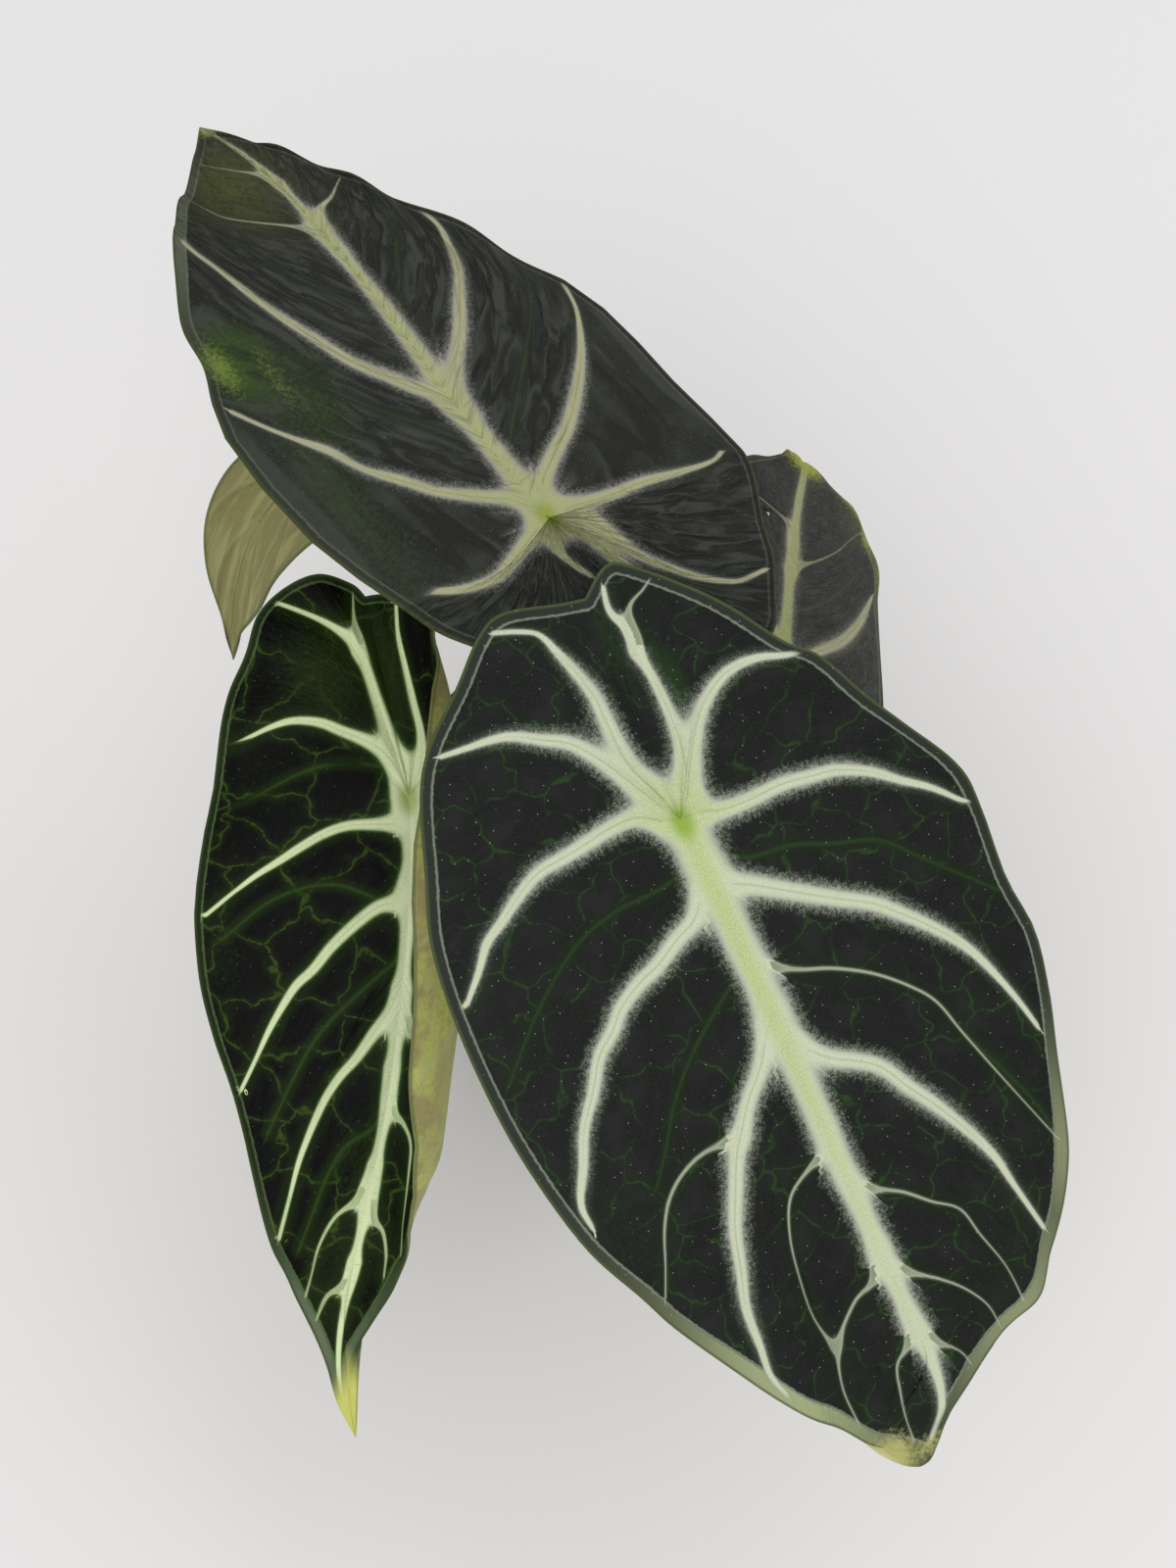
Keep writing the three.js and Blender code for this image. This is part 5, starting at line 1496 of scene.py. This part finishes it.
class PLANT_OT_petioles(bpy.types.Operator):
    """Build the leaf stalks that rise round the corm"""

    bl_idname = "plant.petioles"
    bl_label = "Petioles"

    def execute(self, context):
        material = petiole_material()
        for name in LEAVES:
            make_stalk(name, context.scene.plant_sizes, material)
        return {"FINISHED"}


class PLANT_OT_corm(bpy.types.Operator):
    """Build the short brown corm between the stalks"""

    bl_idname = "plant.corm"
    bl_label = "Corm"

    def execute(self, context):
        r, foot = CORM_RADIUS, SOIL_TOP - CORM_DEPTH
        shape = [(0, foot), (r * 0.7, foot + 0.6), (r * 0.96, foot + 4), (r * 0.96, SOIL_TOP),
                 (r * 0.8, SOIL_TOP + 2), (r * 0.42, CORM_TOP - 0.5), (0, CORM_TOP)]
        fine = curve(shape, np.linspace(0, 1, 60))
        bm = spun([(max(0.0, p[0]), min(p[1], CORM_TOP)) for p in fine], 56)
        for v in bm.verts:
            p = v.co / MM
            rings = 0.10 * math.sin(p.z * 4.2) + 0.16 * noise.noise(p * 1.3)
            outward = Vector((p.x, p.y, 0))
            if outward.length > 0.01:
                v.co += outward.normalized() * rings * MM * min(1, outward.length)
        finish_piece("corm_fine", bm, husk_material(), "corm")
        return {"FINISHED"}


class PLANT_OT_mix(bpy.types.Operator):
    """Build the potting mix with its bark, peat and perlite grains"""

    bl_idname = "plant.mix"
    bl_label = "Potting mix"

    def execute(self, context):
        bottom, top = POT_FLOOR + SEAT_GAP, SOIL_TOP - SOIL_EDGE_DROP
        wall = inner_radius(top) - SEAT_GAP
        profile = [(0, bottom), (inner_radius(bottom) - 1.3, bottom)]
        heights = [bottom + 1, *np.linspace(12, top - 4, 6), top]
        profile += [(inner_radius(z) - SEAT_GAP, z) for z in heights]
        profile += [(r, SOIL_TOP) for r in np.linspace(wall - 0.8, 0, 56)]
        bm = spun(profile, 150)
        for v in bm.verts:
            p = v.co / MM
            if p.z > top + 0.1:
                rim = min(1.0, max(0.0, (wall - math.hypot(p.x, p.y)) / 3))
                v.co.z = (top + (soil_height(p.x, p.y) - top) * rim) * MM
        damp = mix_material("potting_mix_damp_peat", "#1d140d", "#4a3727", 0.9)
        finish_piece("potting_mix_fine", bm, damp, "soil")

        sizes, zones = context.scene.plant_sizes, keep_out_zones()
        peat = scatter("grain", sizes.granules, PEAT_SIZES, sizes.seed, zones)
        finish_piece("peat_granules", peat, mix_material("peat_crumb_matt", "#22170f", "#5a4330", 1.2))
        chips = scatter("chip", sizes.granules // 6, BARK_SIZES, sizes.seed + 1, zones)
        bark = mix_material("pine_bark_dry", "#3a2414", "#7d5a3a", 0.5)
        finish_piece("bark_chips", chips, bark, smooth_angle=40)
        white = scatter("grain", sizes.perlite, PERLITE_SIZES, sizes.seed + 2, zones)
        perlite = mix_material("perlite_expanded", "#a9a59c", "#e6e3dc", 1.8, 0.9)
        finish_piece("perlite_grains", white, perlite)
        return {"FINISHED"}


class PLANT_OT_pot(bpy.types.Operator):
    """Build the black nursery pot with its rolled rim and drain holes"""

    bl_idname = "plant.pot"
    bl_label = "Nursery pot"

    def execute(self, context):
        sharp = 32
        pot = finish_piece("nursery_pot_fine", spun(pot_profile(), 128), plastic_material(), "pot", sharp)
        drill_drains(pot)
        pot.data.set_sharp_from_angle(angle=math.radians(sharp))
        return {"FINISHED"}


class PLANT_OT_stage(bpy.types.Operator):
    """Set up the pale floor, the soft light and the camera"""

    bl_idname = "plant.stage"
    bl_label = "Floor, light and camera"

    def execute(self, context):
        scene, settings = context.scene, context.scene.stage_settings
        bm = bmesh.new()
        bmesh.ops.create_circle(bm, cap_ends=True, segments=96, radius=FLOOR_RADIUS)
        mesh = bpy.data.meshes.new("floor")
        bm.to_mesh(mesh)
        bm.free()
        # Matt painted floor, so that it takes soft shadows and no reflections.
        material, tree = new_material("floor_matt_paint")
        shader = add(tree, "BsdfPrincipled", {"Base Color": (*settings.floor, 1), "Roughness": 0.9})
        add(tree, "OutputMaterial", {"Surface": shader})
        mesh.materials.append(material)
        floor = bpy.data.objects.new("floor", mesh)
        floor.location.z = -FLOOR_DROP
        scene.collection.objects.link(floor)

        world = bpy.data.worlds.new("pale_room")
        scene.world = world
        world.use_nodes = True
        background = world.node_tree.nodes["Background"]
        background.inputs["Color"].default_value = colour("#eceef2")
        background.inputs["Strength"].default_value = settings.sky
        for name, place, size, share in LAMPS:
            data = bpy.data.lights.new(name, "AREA")
            data.shape, data.size, data.energy = "DISK", size, settings.key_power * share
            lamp = bpy.data.objects.new(name, data)
            lamp.location = place
            lamp.rotation_euler = (Vector(LAMPS_AIM) - Vector(place)).to_track_quat("-Z", "Y").to_euler()
            scene.collection.objects.link(lamp)

        data = bpy.data.cameras.new("camera")
        data.lens, data.sensor_width, data.clip_start = LENS_MM, SENSOR_MM, 0.01
        camera = bpy.data.objects.new("camera", data)
        camera.location = CAMERA_PLACE
        camera.rotation_euler = (math.radians(CAMERA_TILT), 0, 0)
        scene.collection.objects.link(camera)
        scene.camera = camera
        scene.view_settings.view_transform = "Standard"
        return {"FINISHED"}


class PLANT_PT_panel(bpy.types.Panel):
    """Lists the plant's builders"""

    bl_label = "Potted alocasia"
    bl_space_type = "VIEW_3D"
    bl_region_type = "UI"
    bl_category = "Plant"

    def draw(self, context):
        for group in (context.scene.plant_sizes, context.scene.plant_colours, context.scene.stage_settings):
            box = self.layout.box()
            for key in group.__annotations__:
                box.prop(group, key)
        for operator in OPERATORS:
            self.layout.operator(operator.bl_idname)


OPERATORS = (PLANT_OT_pot, PLANT_OT_mix, PLANT_OT_corm, PLANT_OT_petioles, PLANT_OT_leaves, PLANT_OT_stage)
CLASSES = (PlantSizes, PlantColours, StageSettings, *OPERATORS, PLANT_PT_panel)


def register():
    for item in CLASSES:
        bpy.utils.register_class(item)
    bpy.types.Scene.plant_sizes = bpy.props.PointerProperty(type=PlantSizes)
    bpy.types.Scene.plant_colours = bpy.props.PointerProperty(type=PlantColours)
    bpy.types.Scene.stage_settings = bpy.props.PointerProperty(type=StageSettings)


def unregister():
    del bpy.types.Scene.stage_settings
    del bpy.types.Scene.plant_colours
    del bpy.types.Scene.plant_sizes
    for item in reversed(CLASSES):
        bpy.utils.unregister_class(item)


def main():
    register()
    bpy.ops.plant.stage()
    bpy.ops.plant.pot()
    bpy.ops.plant.mix()
    bpy.ops.plant.corm()
    bpy.ops.plant.petioles()
    bpy.ops.plant.leaves()


if __name__ == "__main__":
    main()
